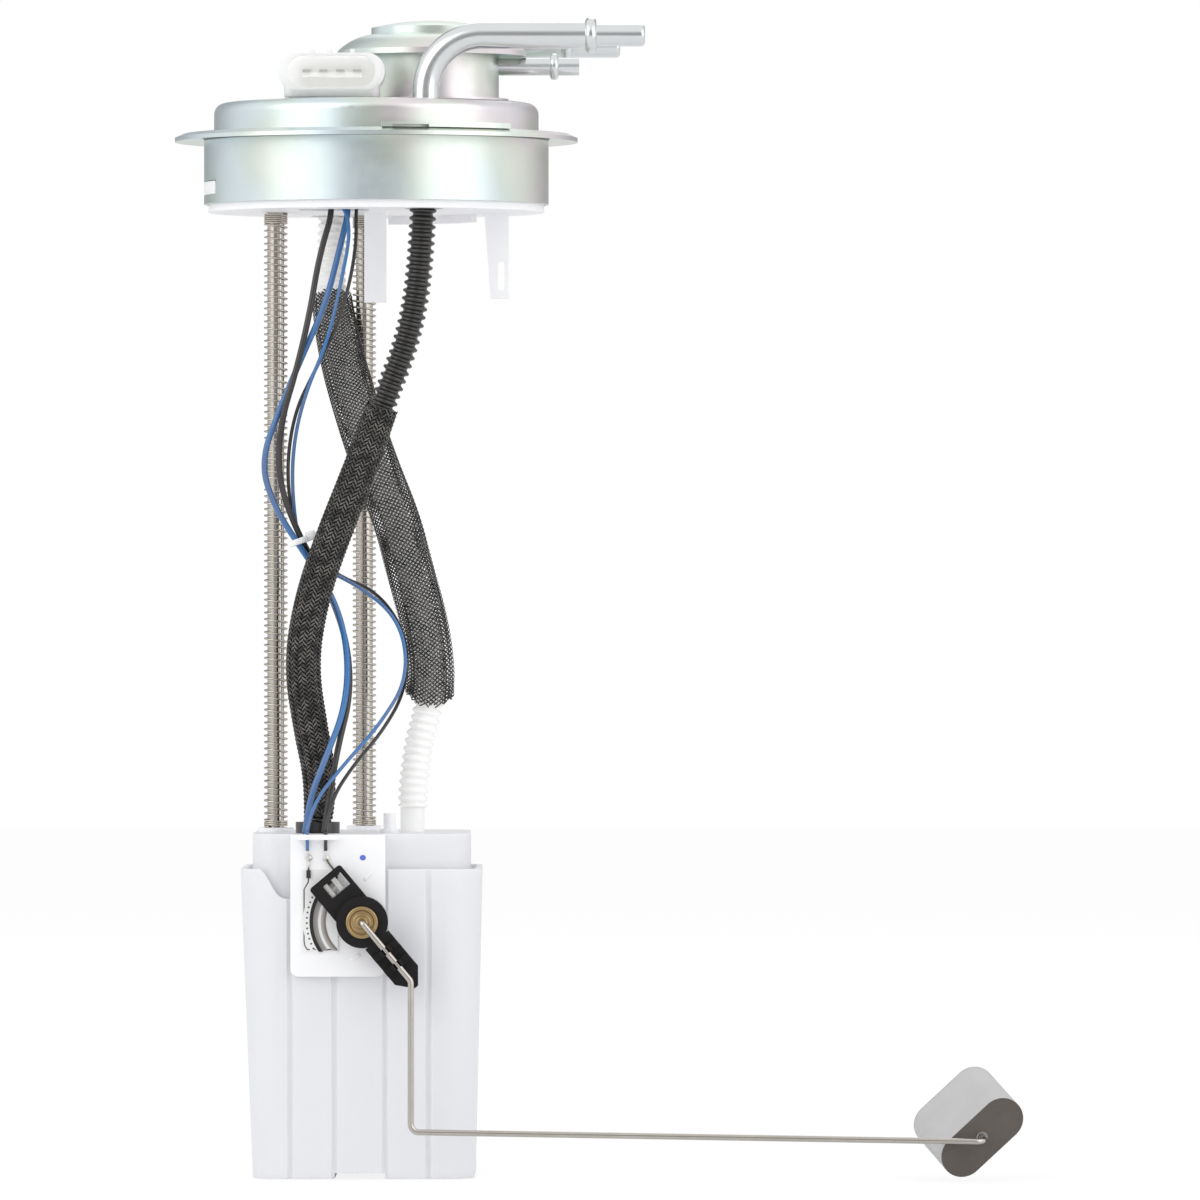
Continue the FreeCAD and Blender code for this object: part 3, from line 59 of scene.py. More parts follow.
# Room: a white studio with a pale floor, a large soft lamp on each side and one behind. Bright metal mirrors
# two dimmer places in it, one round the photographer and one far behind the module, which is seen level, from
# far away.
scene = bpy.context.scene
scene.view_settings.view_transform = "Standard"


class Field:
    """One output of a finish's nodes, a value that changes over the surface. Sums on it add Math nodes."""

    def __init__(self, finish, socket):
        self.finish, self.socket = finish, socket

    def sum(self, operation, *values):
        return self.finish.node("ShaderNodeMath", {"operation": operation}, dict(enumerate(values)))

    def __add__(self, other):
        return self.sum("ADD", self, other)

    def __radd__(self, other):
        return self.sum("ADD", other, self)

    def __sub__(self, other):
        return self.sum("SUBTRACT", self, other)

    def __rsub__(self, other):
        return self.sum("SUBTRACT", other, self)

    def __mul__(self, other):
        return self.sum("MULTIPLY", self, other)

    def __pow__(self, other):
        return self.sum("POWER", self, other)

    def __gt__(self, other):
        return self.sum("GREATER_THAN", self, other)

    def most(self, other):
        return self.sum("MAXIMUM", self, other)

    def wave(self):
        return self.sum("SINE", self)

    def size(self):
        return self.sum("ABSOLUTE", self)

    def between(self, low, high):
        """0 below low, 1 above high, and a smooth step from one to the other."""
        return self.finish.node("ShaderNodeMapRange", {"interpolation_type": "SMOOTHSTEP"},
                                {"Value": self, "From Min": low, "From Max": high})


class Finish:
    """The nodes of one material or of the room. Every node is made by node(): its type, its settings, then
    what its sockets get, numbers or Fields."""

    def __init__(self, name, room=None, **fixed):
        self.owner = room or bpy.data.materials.new(name)
        self.owner.use_nodes = True
        self.tree = self.owner.node_tree
        self.shader = self.tree.nodes.get("Principled BSDF")
        self.set(**fixed)

    def feed(self, socket, value):
        if isinstance(value, Field):
            self.tree.links.new(value.socket, socket)
        else:
            socket.default_value = value

    def node(self, kind, settings, values, output=0):
        made = self.tree.nodes.new(kind)
        for setting, value in settings.items():
            if setting == "stops":
                while len(made.color_ramp.elements) < len(value):
                    made.color_ramp.elements.new(0.5)
                for stop, (place, colour) in zip(made.color_ramp.elements, value):
                    stop.position, stop.color = place, colour
            else:
                setattr(made, setting, value)
        for socket, value in values.items():
            self.feed(made.inputs[socket], value)
        return Field(self, made.outputs[output])

    def place(self):
        """The point of the surface in the module's own metres."""
        return self.node("ShaderNodeTexCoord", {}, {}, "Object")

    def places(self):
        """The same point's x, y and z, one by one."""
        point = self.place()
        return [self.node("ShaderNodeSeparateXYZ", {}, {"Vector": point}, axis) for axis in "XYZ"]

    def stretch(self, x, y, z):
        """The same point with its three sizes multiplied, for grain that runs one way."""
        return self.node("ShaderNodeVectorMath", {"operation": "MULTIPLY"}, {0: self.place(), 1: (x, y, z)})

    def clouds(self, scale, detail=3.0, at=None):
        return self.node("ShaderNodeTexNoise", {},
                         {"Vector": at or self.place(), "Scale": scale, "Detail": detail})

    def blend(self, share, first, second):
        """first where share is 0 and second where it is 1, as colours."""
        return self.node("ShaderNodeMix", {"data_type": "RGBA"}, {0: share, 6: first, 7: second}, 2)

    def relief(self, height, depth, strength=1.0):
        """Bumps as high as depth metres where height is 1."""
        made = self.node("ShaderNodeBump", {}, {"Strength": strength, "Distance": depth, "Height": height})
        self.feed(self.shader.inputs["Normal"], made)

    def set(self, **values):
        for socket, value in values.items():
            self.feed(self.shader.inputs[socket.replace("_", " ")], value)


white = (1.0, 1.0, 1.0, 1.0)
room = bpy.data.worlds.new("white_room")
scene.world = room
air = Finish("air", room)
seen = air.node("ShaderNodeLightPath", {}, {}, "Is Camera Ray")
mirrored = air.node("ShaderNodeLightPath", {}, {}, "Is Glossy Ray")
through = air.node("ShaderNodeLightPath", {}, {}, "Is Transmission Ray")
ray = air.node("ShaderNodeTexCoord", {}, {}, "Generated")
away = air.node("ShaderNodeSeparateXYZ", {}, {"Vector": ray}, "Y")
near_place = (0.0 - away).between(0.74, 0.97)
far_place = away.between(0.35, 0.92)
level = 0.80 + through * 0.20 + mirrored * (0.16 - near_place * 0.60 - far_place * 0.62)
strength = level.most(seen)
background = room.node_tree.nodes["Background"]
air.feed(background.inputs["Color"], white)
air.feed(background.inputs["Strength"], strength)

floor_z = cad_box[0][2] - 0.0003
floor_half = 6.0
floor_mesh = bpy.data.meshes.new("floor")
floor_mesh.from_pydata([(-floor_half, -floor_half, floor_z), (floor_half, -floor_half, floor_z),
                        (floor_half, floor_half, floor_z), (-floor_half, floor_half, floor_z)], [],
                       [(0, 1, 2, 3)])
floor = bpy.data.objects.new("floor", floor_mesh)
scene.collection.objects.link(floor)
pale = Finish("pale_floor", Base_Color=(0.86, 0.86, 0.87, 1.0), Roughness=0.9)
pale_seen = pale.node("ShaderNodeLightPath", {}, {}, "Is Camera Ray")
pale_glow = pale.node("ShaderNodeEmission", {}, {"Color": white, "Strength": 1.04})
pale_mix = pale.node("ShaderNodeMixShader", {}, {0: pale_seen * 0.82, 1: Field(pale, pale.shader.outputs[0]),
                                                 2: pale_glow})
pale.feed(pale.tree.nodes["Material Output"].inputs["Surface"], pale_mix)
floor_mesh.materials.append(pale.owner)

for lamp_name, lamp_place, lamp_size, lamp_power in (
    ("left_lamp", (-2.0, -1.7, 1.2), 2.6, 24.0),
    ("right_lamp", (2.1, -1.6, 0.8), 2.6, 18.0),
    ("back_lamp", (0.3, 2.2, 1.6), 1.6, 8.0),
):
    lamp_data = bpy.data.lights.new(lamp_name, "AREA")
    lamp_data.shape = "SQUARE"
    lamp_data.size = lamp_size
    lamp_data.energy = lamp_power
    lamp = bpy.data.objects.new(lamp_name, lamp_data)
    lamp.location = lamp_place
    toward = Vector((0.03, 0.0, -0.15)) - lamp.location
    lamp.rotation_mode = "QUATERNION"
    lamp.rotation_quaternion = toward.to_track_quat("-Z", "Y")
    scene.collection.objects.link(lamp)

view_width = 0.432
camera_distance = 3.96
camera_data = bpy.data.cameras.new("camera")
camera_data.sensor_width = 36.0
camera_data.lens = camera_data.sensor_width * camera_distance / view_width
camera = bpy.data.objects.new("camera", camera_data)
camera.location = (0.0805, -camera_distance, -0.166)
camera.rotation_euler = (np.pi / 2, 0.0, 0.0)
scene.collection.objects.link(camera)
scene.camera = camera

# Supply hose: a black corrugated nylon tube from the feed tube's foot down to the pump, pushed over both
# ends. Its ridges stand 1.2 mm high every 2.9 mm.
ridge_pitch = 0.0029
hose_step = ridge_pitch / 9
smooth_end = -0.026
hose_sides = 32


def line_run(line):
    """Distance along a line to each of its points."""
    return np.r_[0.0, np.cumsum(np.linalg.norm(np.diff(line, axis=0), axis=1))]


def route_line(points, step):
    """Centre line of a hose or wire, in metres: the smooth NURBS curve of order 3 that the route's points
    control, as Blender works it out, divided again into equal steps of about the given length."""
    curve = bpy.data.curves.new("route", "CURVE")
    curve.dimensions = "3D"
    curve.resolution_u = 24
    spline = curve.splines.new("NURBS")
    spline.points.add(len(points) - 1)
    spline.points.foreach_set("co", np.c_[np.array(points), np.ones(len(points))].ravel())
    spline.order_u = 3
    spline.use_endpoint_u = True
    holder = bpy.data.objects.new("route", curve)
    followed = bpy.data.meshes.new_from_object(holder)
    line = np.zeros(len(followed.vertices) * 3)
    followed.vertices.foreach_get("co", line)
    line = line.reshape(-1, 3)
    bpy.data.meshes.remove(followed)
    bpy.data.objects.remove(holder)
    bpy.data.curves.remove(curve)
    run = line_run(line)
    even = np.linspace(0.0, run[-1], int(np.ceil(run[-1] / step)) + 1)
    return np.column_stack([np.interp(even, run, line[:, axis]) for axis in range(3)])


def part_of(line, top, bottom):
    """The stretch of a falling line between two heights."""
    return line[(line[:, 2] <= top) & (line[:, 2] >= bottom)]


def line_sides(line):
    """Two unit directions square to a line at each point: across = along x Y, and front = across x along."""
    along = np.gradient(line, axis=0)
    along /= np.linalg.norm(along, axis=1, keepdims=True)
    across = np.cross(along, (0.0, 1.0, 0.0))
    across /= np.linalg.norm(across, axis=1, keepdims=True)
    return across, np.cross(across, along)


def round_tube(line, radius, sides):
    """Grid of a tube: centre + radius (cos a across + sin a front), a from 0 to a turn, and a point at each
    end."""
    across, front = line_sides(line)
    angle = np.arange(sides) * 2 * np.pi / sides
    radius = np.broadcast_to(radius, len(line))
    out = np.cos(angle)[None, :, None] * across[:, None, :]
    out = out + np.sin(angle)[None, :, None] * front[:, None, :]
    grid = line[:, None, :] + radius[:, None, None] * out
    tips = [np.repeat(line[end][None, None, :], sides, axis=1) for end in (0, -1)]
    return np.concatenate([tips[0], grid, tips[1]], axis=0)


def grid_faces(count, rows, columns, wrap_rows):
    """Corner numbers of the four-sided faces of several equal grids that lie one after another. The columns
    of a grid always close on themselves, its rows only where wrap_rows is true."""
    row = np.arange(rows if wrap_rows else rows - 1)
    row, column = [each.ravel() for each in np.meshgrid(row, np.arange(columns), indexing="ij")]
    row_next, column_next = (row + 1) % rows, (column + 1) % columns
    one = np.stack([row * columns + column, row * columns + column_next,
                    row_next * columns + column_next, row_next * columns + column], axis=1)
    return (one[None] + (np.arange(count) * rows * columns)[:, None, None]).reshape(-1, 4)


def grid_piece(name, grid, finish, wrap_rows=False, across=None):
    """A smooth mesh piece from a grid of points (rows, columns, 3), or from several such grids stacked,
    turned so that its faces point outwards. across gives each column a place from 0 to 1, kept as the UV
    map's U, with the row's distance in metres as V."""
    merge_distance = 1e-7
    grid = grid if grid.ndim == 4 else grid[None]
    count, rows, columns = grid.shape[:3]
    points = grid.reshape(-1, 3)
    faces = grid_faces(count, rows, columns, wrap_rows)
    corner = points[faces]
    volume = np.einsum("ij,ij->", corner[:, 0], np.cross(corner[:, 1], corner[:, 2]))
    volume += np.einsum("ij,ij->", corner[:, 0], np.cross(corner[:, 2], corner[:, 3]))
    if volume < 0:
        faces = faces[:, ::-1]
    mesh = bpy.data.meshes.new(name)
    mesh.vertices.add(len(points))
    mesh.vertices.foreach_set("co", points.ravel())
    mesh.loops.add(faces.size)
    mesh.loops.foreach_set("vertex_index", faces.ravel())
    mesh.polygons.add(len(faces))
    mesh.polygons.foreach_set("loop_start", np.arange(len(faces)) * 4)
    mesh.polygons.foreach_set("loop_total", np.full(len(faces), 4))
    if across is not None:
        steps = np.linalg.norm(np.diff(grid[:, :, 0], axis=1), axis=2)
        far = np.concatenate([np.zeros((count, 1)), np.cumsum(steps, axis=1)], axis=1)
        places = np.stack(np.broadcast_arrays(np.asarray(across)[None, None, :], far[:, :, None]), axis=3)
        layer = mesh.uv_layers.new(name="surface")
        layer.data.foreach_set("uv", places.reshape(-1, 2)[faces.ravel()].ravel())
    mesh.update(calc_edges=True)
    mesh.validate()
    solid = bmesh.new()
    solid.from_mesh(mesh)
    bmesh.ops.remove_doubles(solid, verts=solid.verts, dist=merge_distance)
    solid.to_mesh(mesh)
    solid.free()
    mesh.polygons.foreach_set("use_smooth", np.ones(len(mesh.polygons), bool))
    mesh.materials.append(finish.owner)
    piece = bpy.data.objects.new(name, mesh)
    scene.collection.objects.link(piece)
    return piece


def ridged(line, ridge, valley):
    """Radius along a corrugated hose: valley + (ridge - valley) times a rounded crest every pitch, and an
    even cuff a little wider than the valleys above the height smooth_end."""
    flatness, cuff = 1.6, 0.12
    phase = np.cos(line_run(line) * 2 * np.pi / ridge_pitch)
    crest = 0.5 + 0.5 * np.tanh(flatness * phase) / np.tanh(flatness)
    return valley + (ridge - valley) * np.where(line[:, 2] > smooth_end, cuff, crest)


supply_points = (
    (0.0178, -0.0410, -0.0185), (0.0169, -0.0405, -0.0450), (0.0126, -0.0400, -0.0720),
    (0.0036, -0.0390, -0.0950), (-0.0042, -0.0370, -0.1170), (-0.0144, -0.0330, -0.1420),
    (-0.0226, -0.0280, -0.1650), (-0.0266, -0.0240, -0.1890), (-0.0232, -0.0212, -0.2120),
    (-0.0192, -0.0202, -0.2320), (-0.0206, -0.0200, -0.2454),
)
supply_line = route_line(supply_points, hose_step)
black_nylon = Finish("black_nylon", Coat_Weight=0.5, Coat_IOR=1.6, Coat_Roughness=0.14)
black_nylon.set(Base_Color=black_nylon.blend(black_nylon.clouds(300.0), (0.008, 0.007, 0.006, 1.0),
                                             (0.020, 0.018, 0.015, 1.0)),
                Roughness=0.30 + black_nylon.clouds(900.0) * 0.16)
black_nylon.relief(black_nylon.clouds(2600.0, 2.0), 0.00004)
supply_radius = ridged(supply_line, ridge=0.00485, valley=0.0036)
supply_hose = grid_piece("supply_hose", round_tube(supply_line, supply_radius, hose_sides), black_nylon)
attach(supply_hose, "head")
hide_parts("black_hose")

# Return hose: a natural nylon corrugated tube, so pale that it almost disappears against white, from the
# return tube at the back of the cover forward and down to its cuff on the reservoir's lid.
return_points = (
    (-0.0165, 0.0410, -0.0185), (-0.0170, 0.0405, -0.0370), (-0.0172, 0.0345, -0.0570),
    (-0.0132, 0.0215, -0.0775), (-0.0076, 0.0080, -0.0965), (-0.0008, 0.0005, -0.1170),
    (0.0076, -0.0040, -0.1375), (0.0118, -0.0050, -0.1540), (0.0185, -0.0040, -0.1780),
    (0.0200, -0.0020, -0.2010), (0.0136, 0.0000, -0.2230), (0.0130, 0.0000, -0.2403),
)
return_line = route_line(return_points, hose_step)
# Its faint emission is a painted glow that makes the pale tube brighter than the lamps light it.
natural_nylon = Finish("natural_nylon", Subsurface_Weight=0.5, Subsurface_Radius=(0.002, 0.002, 0.002),
                       Subsurface_Scale=1.0, Roughness=0.34, Coat_Weight=0.1,
                       Emission_Color=(0.06, 0.06, 0.057, 1.0), Emission_Strength=1.0)
natural_nylon.set(Base_Color=natural_nylon.blend(natural_nylon.clouds(120.0), (0.97, 0.97, 0.955, 1.0),
                                                 (0.95, 0.95, 0.925, 1.0)))
natural_nylon.relief(natural_nylon.clouds(1500.0, 2.0), 0.00003)
return_radius = ridged(return_line, ridge=0.0053, valley=0.0043)
return_hose = grid_piece("return_hose", round_tube(return_line, return_radius, hose_sides), natural_nylon)
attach(return_hose, "head")
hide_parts("natural_hose")

# Braided sleeves: black monofilament, three threads side by side in each strand, woven over two and under
# two. The supply hose's sleeve is close and tight, the return hose's wide, flattened and cut with open ends.
strand_rows = 300


def braid(line, half_width, half_depth, strands, lead, strand_width, lift, seed, flare=0.0, dip=0.0, top=0.0,
          bottom=0.0, folds=0.0):
    """Grids of the strands of a braided sleeve. A strand's angle round the line is its number's share of a
    turn plus or minus run / lead, and it stands off the sleeve's oval by lift cos(2 pi (crossings + 2 number)
    / 4), so that it goes over two and under two. Its section is a flat diamond and its ends are cut unevenly.
    The oval is wider by the share flare at both ends and narrower by the shares top and bottom there. Its
    lower end lies higher at the sides by dip, and hangs lower in front and behind. It folds lengthwise by the
    share folds sin(11 angle), more downwards."""
    uneven, flare_reach, top_reach, bottom_reach = 0.0016, 0.006, 0.016, 0.014
    fold_count = 11
    diamond_depth = 0.17
    jitter = np.random.default_rng(seed)
    run = line_run(line)
    across, front = line_sides(line)
    number = np.arange(strands)
    made = []
    for way in (1.0, -1.0):
        begin = jitter.uniform(0.0, uneven, strands)
        end = run[-1] - jitter.uniform(0.0, uneven, strands)
        share = np.linspace(0.0, 1.0, strand_rows)
        along = begin[:, None] + (end - begin)[:, None] * share[None, :]
        angle = 2 * np.pi * number[:, None] / strands + way * along / lead
        along = along - dip * np.cos(angle) ** 2 * np.clip(along / run[-1] * 2 - 1, 0, 1) ** 8
        crossing = 2 * along / lead * strands / (2 * np.pi)
        cycle = (crossing + 2 * number[:, None]) if way > 0 else (2 * number[:, None] - crossing)
        height = way * lift * np.cos(2 * np.pi * (cycle / 4 - 0.125))
        edge = np.minimum(along, run[-1] - along)
        wide = 1.0 + flare * np.exp(-np.maximum(edge, 0.0) / flare_reach)
        squeeze = 1.0 - top * np.exp(-along / top_reach) - bottom * np.exp((along - run[-1]) / bottom_reach)
        squeeze = squeeze * (1.0 + folds * np.sin(fold_count * angle) * (along / run[-1]) ** 1.5)
        centre, side, fore = [np.stack([np.interp(along, run, each[:, axis]) for axis in range(3)], axis=-1)
                              for each in (line, across, front)]
        outward = np.cos(angle)[..., None] * side / half_width + np.sin(angle)[..., None] * fore / half_depth
        outward /= np.linalg.norm(outward, axis=-1, keepdims=True)
        oval = (np.cos(angle) * half_width * wide * squeeze)[..., None] * side
        oval = oval + (np.sin(angle) * half_depth * wide * squeeze)[..., None] * fore
        middle = centre + oval + height[..., None] * outward
        onward = np.gradient(middle, axis=1)
        onward /= np.linalg.norm(onward, axis=-1, keepdims=True)
        flank = np.cross(onward, outward)
        thick = strand_width * diamond_depth
        section = [middle + flank * strand_width / 2, middle + outward * thick,
                   middle - flank * strand_width / 2, middle - outward * thick]
        made.append(np.stack(section, axis=2))
    return np.concatenate(made, axis=0)


black_braid = Finish("black_braid", Coat_Weight=0.05, Coat_Roughness=0.3)
strand_place = black_braid.node("ShaderNodeUVMap", {"uv_map": "surface"}, {})
strand_across = black_braid.node("ShaderNodeSeparateXYZ", {}, {"Vector": strand_place}, "X")
thread = (strand_across * (6 * np.pi)).wave().size()
# painted highlight: each strand is painted lighter along its crest, where it catches the light
crest = (strand_across * np.pi).wave() ** 5.0
black_braid.set(Base_Color=black_braid.blend(crest * (0.1 + black_braid.clouds(300.0).between(0.35, 0.65)),
                                             (0.006, 0.0055, 0.005, 1.0), (0.20, 0.185, 0.168, 1.0)),
                Roughness=0.34 + black_braid.clouds(700.0) * 0.2)
black_braid.relief(thread, 0.00008, 0.6)
strand_columns = (0.0, 0.5, 1.0, 0.5)
supply_sleeve_ends, return_sleeve_ends = (-0.0968, -0.2450), (-0.0545, -0.2045)
supply_braid = braid(part_of(supply_line, *supply_sleeve_ends), half_width=0.00585, half_depth=0.00575,
                     strands=24, lead=0.0062, strand_width=0.00118, lift=0.00028, seed=3, top=0.08,
                     bottom=0.22, folds=0.055)
supply_sleeve = grid_piece("supply_sleeve", supply_braid, black_braid, across=strand_columns)
return_braid = braid(part_of(return_line, *return_sleeve_ends), half_width=0.0083, half_depth=0.0064,
                     strands=28, lead=0.0068, strand_width=0.00052, lift=0.00014, seed=5, flare=0.05,
                     dip=0.0042, top=0.2, folds=0.045)
return_sleeve = grid_piece("return_sleeve", return_braid, black_braid, across=strand_columns)
for sleeve, node in ((supply_sleeve, "black_hose_sleeve"), (return_sleeve, "natural_hose_sleeve")):
    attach(sleeve, "head")
    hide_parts(node)

for piece, keep in ((supply_hose, 0.7796), (supply_sleeve, 0.7796),
                    (return_hose, 0.7747), (return_sleeve, 0.7747)):
    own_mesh(piece)

# Wires: two thick ones feed the pump and two thin ones come from the level sender, plain stranded copper in
# coloured insulation, tied together once with a white nylon tie and led in loose curves past the hoses.
wire_sides = 14
wire_step = 0.0012

# Each route has its node, its colour, its radius, its length, the share of its height that the slide leaves
# it, and the points that control its curve.
wire_routes = (
    ("pump_wire_black", "black_wire", 0.0011, 0.2452, 0.7889, (
        (-0.0181, -0.0274, -0.0126), (-0.0138, -0.0274, -0.0229), (-0.0198, -0.0284, -0.0427),
        (-0.0231, -0.0300, -0.0630), (-0.0277, -0.0314, -0.0831), (-0.0337, -0.0297, -0.1028),
        (-0.0347, -0.0260, -0.1234), (-0.0273, -0.0244, -0.1430), (-0.0179, -0.0184, -0.1595),
        (-0.0102, -0.0185, -0.1797), (-0.0086, -0.0212, -0.1998), (-0.0134, -0.0278, -0.2193),
        (-0.0165, -0.0319, -0.2390), (-0.0182, -0.0306, -0.2494))),
    ("pump_wire_blue", "blue_wire", 0.0011, 0.2519, 0.7889, (
        (-0.0121, -0.0274, -0.0126), (-0.0083, -0.0272, -0.0227), (-0.0127, -0.0293, -0.0412),
        (-0.0175, -0.0301, -0.0603), (-0.0257, -0.0283, -0.0783), (-0.0331, -0.0275, -0.0956),
        (-0.0410, -0.0267, -0.1164), (-0.0360, -0.0251, -0.1330), (-0.0250, -0.0250, -0.1496),
        (-0.0142, -0.0206, -0.1661), (-0.0095, -0.0217, -0.1852), (-0.0107, -0.0246, -0.2049),
        (-0.0175, -0.0333, -0.2225), (-0.0235, -0.0343, -0.2379), (-0.0249, -0.0306, -0.2494))),
    ("sender_wire_blue", "blue_wire", 0.00065, 0.2751, 0.7881, (
        (-0.0241, -0.0274, -0.0126), (-0.0166, -0.0351, -0.0203), (-0.0075, -0.0327, -0.0298),
        (-0.0129, -0.0333, -0.0574), (-0.0170, -0.0319, -0.0741), (-0.0253, -0.0297, -0.0933),
        (-0.0295, -0.0254, -0.1120), (-0.0295, -0.0232, -0.1320), (-0.0260, -0.0196, -0.1521),
        (-0.0073, -0.0157, -0.1598), (0.0090, -0.0170, -0.1730), (0.0119, -0.0187, -0.1939),
        (0.0016, -0.0247, -0.2108), (-0.0111, -0.0311, -0.2249), (-0.0222, -0.0403, -0.2390),
        (-0.0239, -0.0428, -0.2486))),
    ("sender_wire_black", "black_wire", 0.00065, 0.2868, 0.7881, (
        (-0.0061, -0.0274, -0.0126), (-0.0067, -0.0276, -0.0243), (-0.0066, -0.0298, -0.0421),
        (-0.0122, -0.0332, -0.0663), (-0.0212, -0.0273, -0.0835), (-0.0292, -0.0260, -0.0997),
        (-0.0319, -0.0240, -0.1222), (-0.0281, -0.0195, -0.1446), (-0.0152, -0.0149, -0.1567),
        (0.0012, 0.0001, -0.1632), (0.0114, 0.0114, -0.1804), (0.0104, 0.0029, -0.1988),
        (0.0024, -0.0125, -0.2133), (-0.0081, -0.0250, -0.2255), (-0.0159, -0.0407, -0.2383),
        (-0.0173, -0.0428, -0.2486))),
)
wire_finishes = {}
for wire_name, light, dull in (("blue_wire", (0.016, 0.16, 0.44, 1.0), (0.085, 0.17, 0.36, 1.0)),
                               ("black_wire", (0.010, 0.009, 0.008, 1.0), (0.034, 0.030, 0.028, 1.0))):
    insulation = Finish(wire_name, Coat_Weight=0.4, Coat_IOR=1.55, Coat_Roughness=0.16)
    insulation.set(Base_Color=insulation.blend(insulation.clouds(26.0).between(0.35, 0.65), light, dull),
                   Roughness=0.3 + insulation.clouds(600.0) * 0.2)
    insulation.relief(insulation.clouds(1200.0, 2.0), 0.00003)
    wire_finishes[wire_name] = insulation
for node, wire_slot, wire_radius, wire_length, keep, wire_points in wire_routes:
    wire_line = route_line(wire_points, wire_step)
    wire = grid_piece(node + "_lead", round_tube(wire_line, wire_radius, wire_sides),
                      wire_finishes[wire_slot])
    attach(wire, "head")
    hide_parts(node)
    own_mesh(wire)

# Cable tie: a white nylon band pulled round the four wires, with its locking head on the right. It is moulded
# in one piece, and its tail is cut off flush with the head.
tie_centre = np.array((-0.0271, -0.0230, -0.1450))
tie_turn = np.radians(19.0)
band_half_x, band_half_y, band_thickness, band_half_height = 0.0033, 0.0038, 0.0004, 0.0011
head_x, head_z = 0.0046, 0.0006
head_half_x, head_half_y, head_half_z = 0.0019, 0.0023, 0.0017


def tilted(points):
    """Points turned about the tie's centre, in the plane of X and Z, by the tie's slant."""
    x, z = points[..., 0], points[..., 2]
    return tie_centre + np.stack([x * np.cos(tie_turn) - z * np.sin(tie_turn), points[..., 1],
                                  x * np.sin(tie_turn) + z * np.cos(tie_turn)], axis=-1)


def signed_power(value, power):
    """The power of a value's size, with the value's own sign."""
    return np.sign(value) * np.abs(value) ** power


def squared_oval(angle, half_x, half_y, power):
    """Points of a closed outline between an oval and a rectangle: half x sign(cos) |cos|^power, and the same
    with the sine in y."""
    return half_x * signed_power(np.cos(angle), power), half_y * signed_power(np.sin(angle), power)


# Its faint emission is a painted glow that makes the white acetal brighter than the lamps light it.
white_plastic = Finish("white_plastic", Coat_Weight=0.08, Coat_Roughness=0.3, Subsurface_Weight=0.25,
                       Subsurface_Radius=(0.004, 0.004, 0.004), Subsurface_Scale=0.5,
                       Emission_Color=(0.05, 0.05, 0.054, 1.0), Emission_Strength=1.0)
white_plastic.set(Base_Color=white_plastic.blend(white_plastic.clouds(45.0), (0.90, 0.905, 0.925, 1.0),
                                                 (0.93, 0.933, 0.945, 1.0)),
                  Roughness=0.36 + white_plastic.clouds(260.0) * 0.14)
white_plastic.relief(white_plastic.clouds(700.0, 2.0), 0.00005)

turn = np.arange(72) * 2 * np.pi / 72
round_section = np.arange(12) * 2 * np.pi / 12
out, high = squared_oval(round_section, band_thickness, band_half_height, 0.6)
band_x, band_y = squared_oval(turn[:, None], band_half_x + out[None, :], band_half_y + out[None, :], 0.75)
band = np.stack([band_x, band_y, np.broadcast_to(high, band_x.shape)], axis=-1)
tie_band = grid_piece("tie_band", tilted(band), white_plastic, wrap_rows=True)
rise = np.linspace(-np.pi / 2, np.pi / 2, 15)[:, None]
block_x, block_y = squared_oval(turn[None, ::2], head_half_x, head_half_y, 0.5)
block_width = np.cos(rise) ** 0.5
block_height = head_half_z * signed_power(np.sin(rise), 0.5)
block = np.stack([head_x + block_x * block_width, block_y * block_width,
                  head_z + block_height * np.ones_like(block_x)], axis=-1)
tie_head = grid_piece("tie_head", tilted(block), white_plastic)
for piece in (tie_band, tie_head):
    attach(piece, "head")
    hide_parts("cable_tie")
    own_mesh(piece)

# Springs: nickel-plated wire coils round the two guide rods, which press the reservoir to the tank's bottom.
# The end coils lie close together, and the left spring is wound a little wider apart than the right one.
spring_top, spring_bottom = -0.0266, -0.2479
coil_radius, spring_wire_radius = 0.00397, 0.00034
closed_top, closed_bottom = 5.5, 3.0


def coil(place, pitch):
    """A coil spring: angle along it a, centre place + coil radius (cos a, sin a), a round section, and a
    height that falls by a wire's thickness each turn in the closed end coils and by the pitch between them."""
    rows_a_turn, sides = 22, 8
    wire = 2 * spring_wire_radius * 1.02
    height = spring_top - spring_bottom - wire
    open_turns = (height - (closed_top + closed_bottom) * wire) / pitch
    knots = np.cumsum([0.0, closed_top, open_turns, closed_bottom])
    falls = np.cumsum([spring_top - spring_wire_radius, -closed_top * wire, -open_turns * pitch,
                       -closed_bottom * wire])
    turns = np.linspace(0.0, knots[-1], int(knots[-1] * rows_a_turn))
    drop = np.interp(turns, knots, falls)
    a = 2 * np.pi * turns[:, None]
    b = np.arange(sides)[None, :] * 2 * np.pi / sides
    radius = coil_radius + spring_wire_radius * np.cos(b)
    grid = np.stack([place[0] + radius * np.cos(a), place[1] + radius * np.sin(a),
                     drop[:, None] + spring_wire_radius * np.sin(b) + 0 * a], axis=-1)
    tips = [np.repeat(grid[end].mean(axis=0)[None, None, :], sides, axis=1) for end in (0, -1)]
    return np.concatenate([tips[0], grid, tips[1]], axis=0)


nickel = Finish("nickel_steel", Metallic=1.0)
nickel.set(Base_Color=nickel.blend(nickel.clouds(160.0), (0.46, 0.42, 0.36, 1.0), (0.68, 0.64, 0.58, 1.0)),
           Roughness=0.16 + nickel.clouds(900.0) * 0.16)
nickel.relief(nickel.clouds(4000.0, 2.0), 0.00001)
for side, place, pitch in (("left", (-0.0362, 0.0), 0.00233), ("right", (-0.0050, 0.0320), 0.00222)):
    spring = grid_piece(side + "_coil", coil(place, pitch), nickel)
    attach(spring, "head")
    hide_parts(side + "_spring")
    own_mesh(spring)

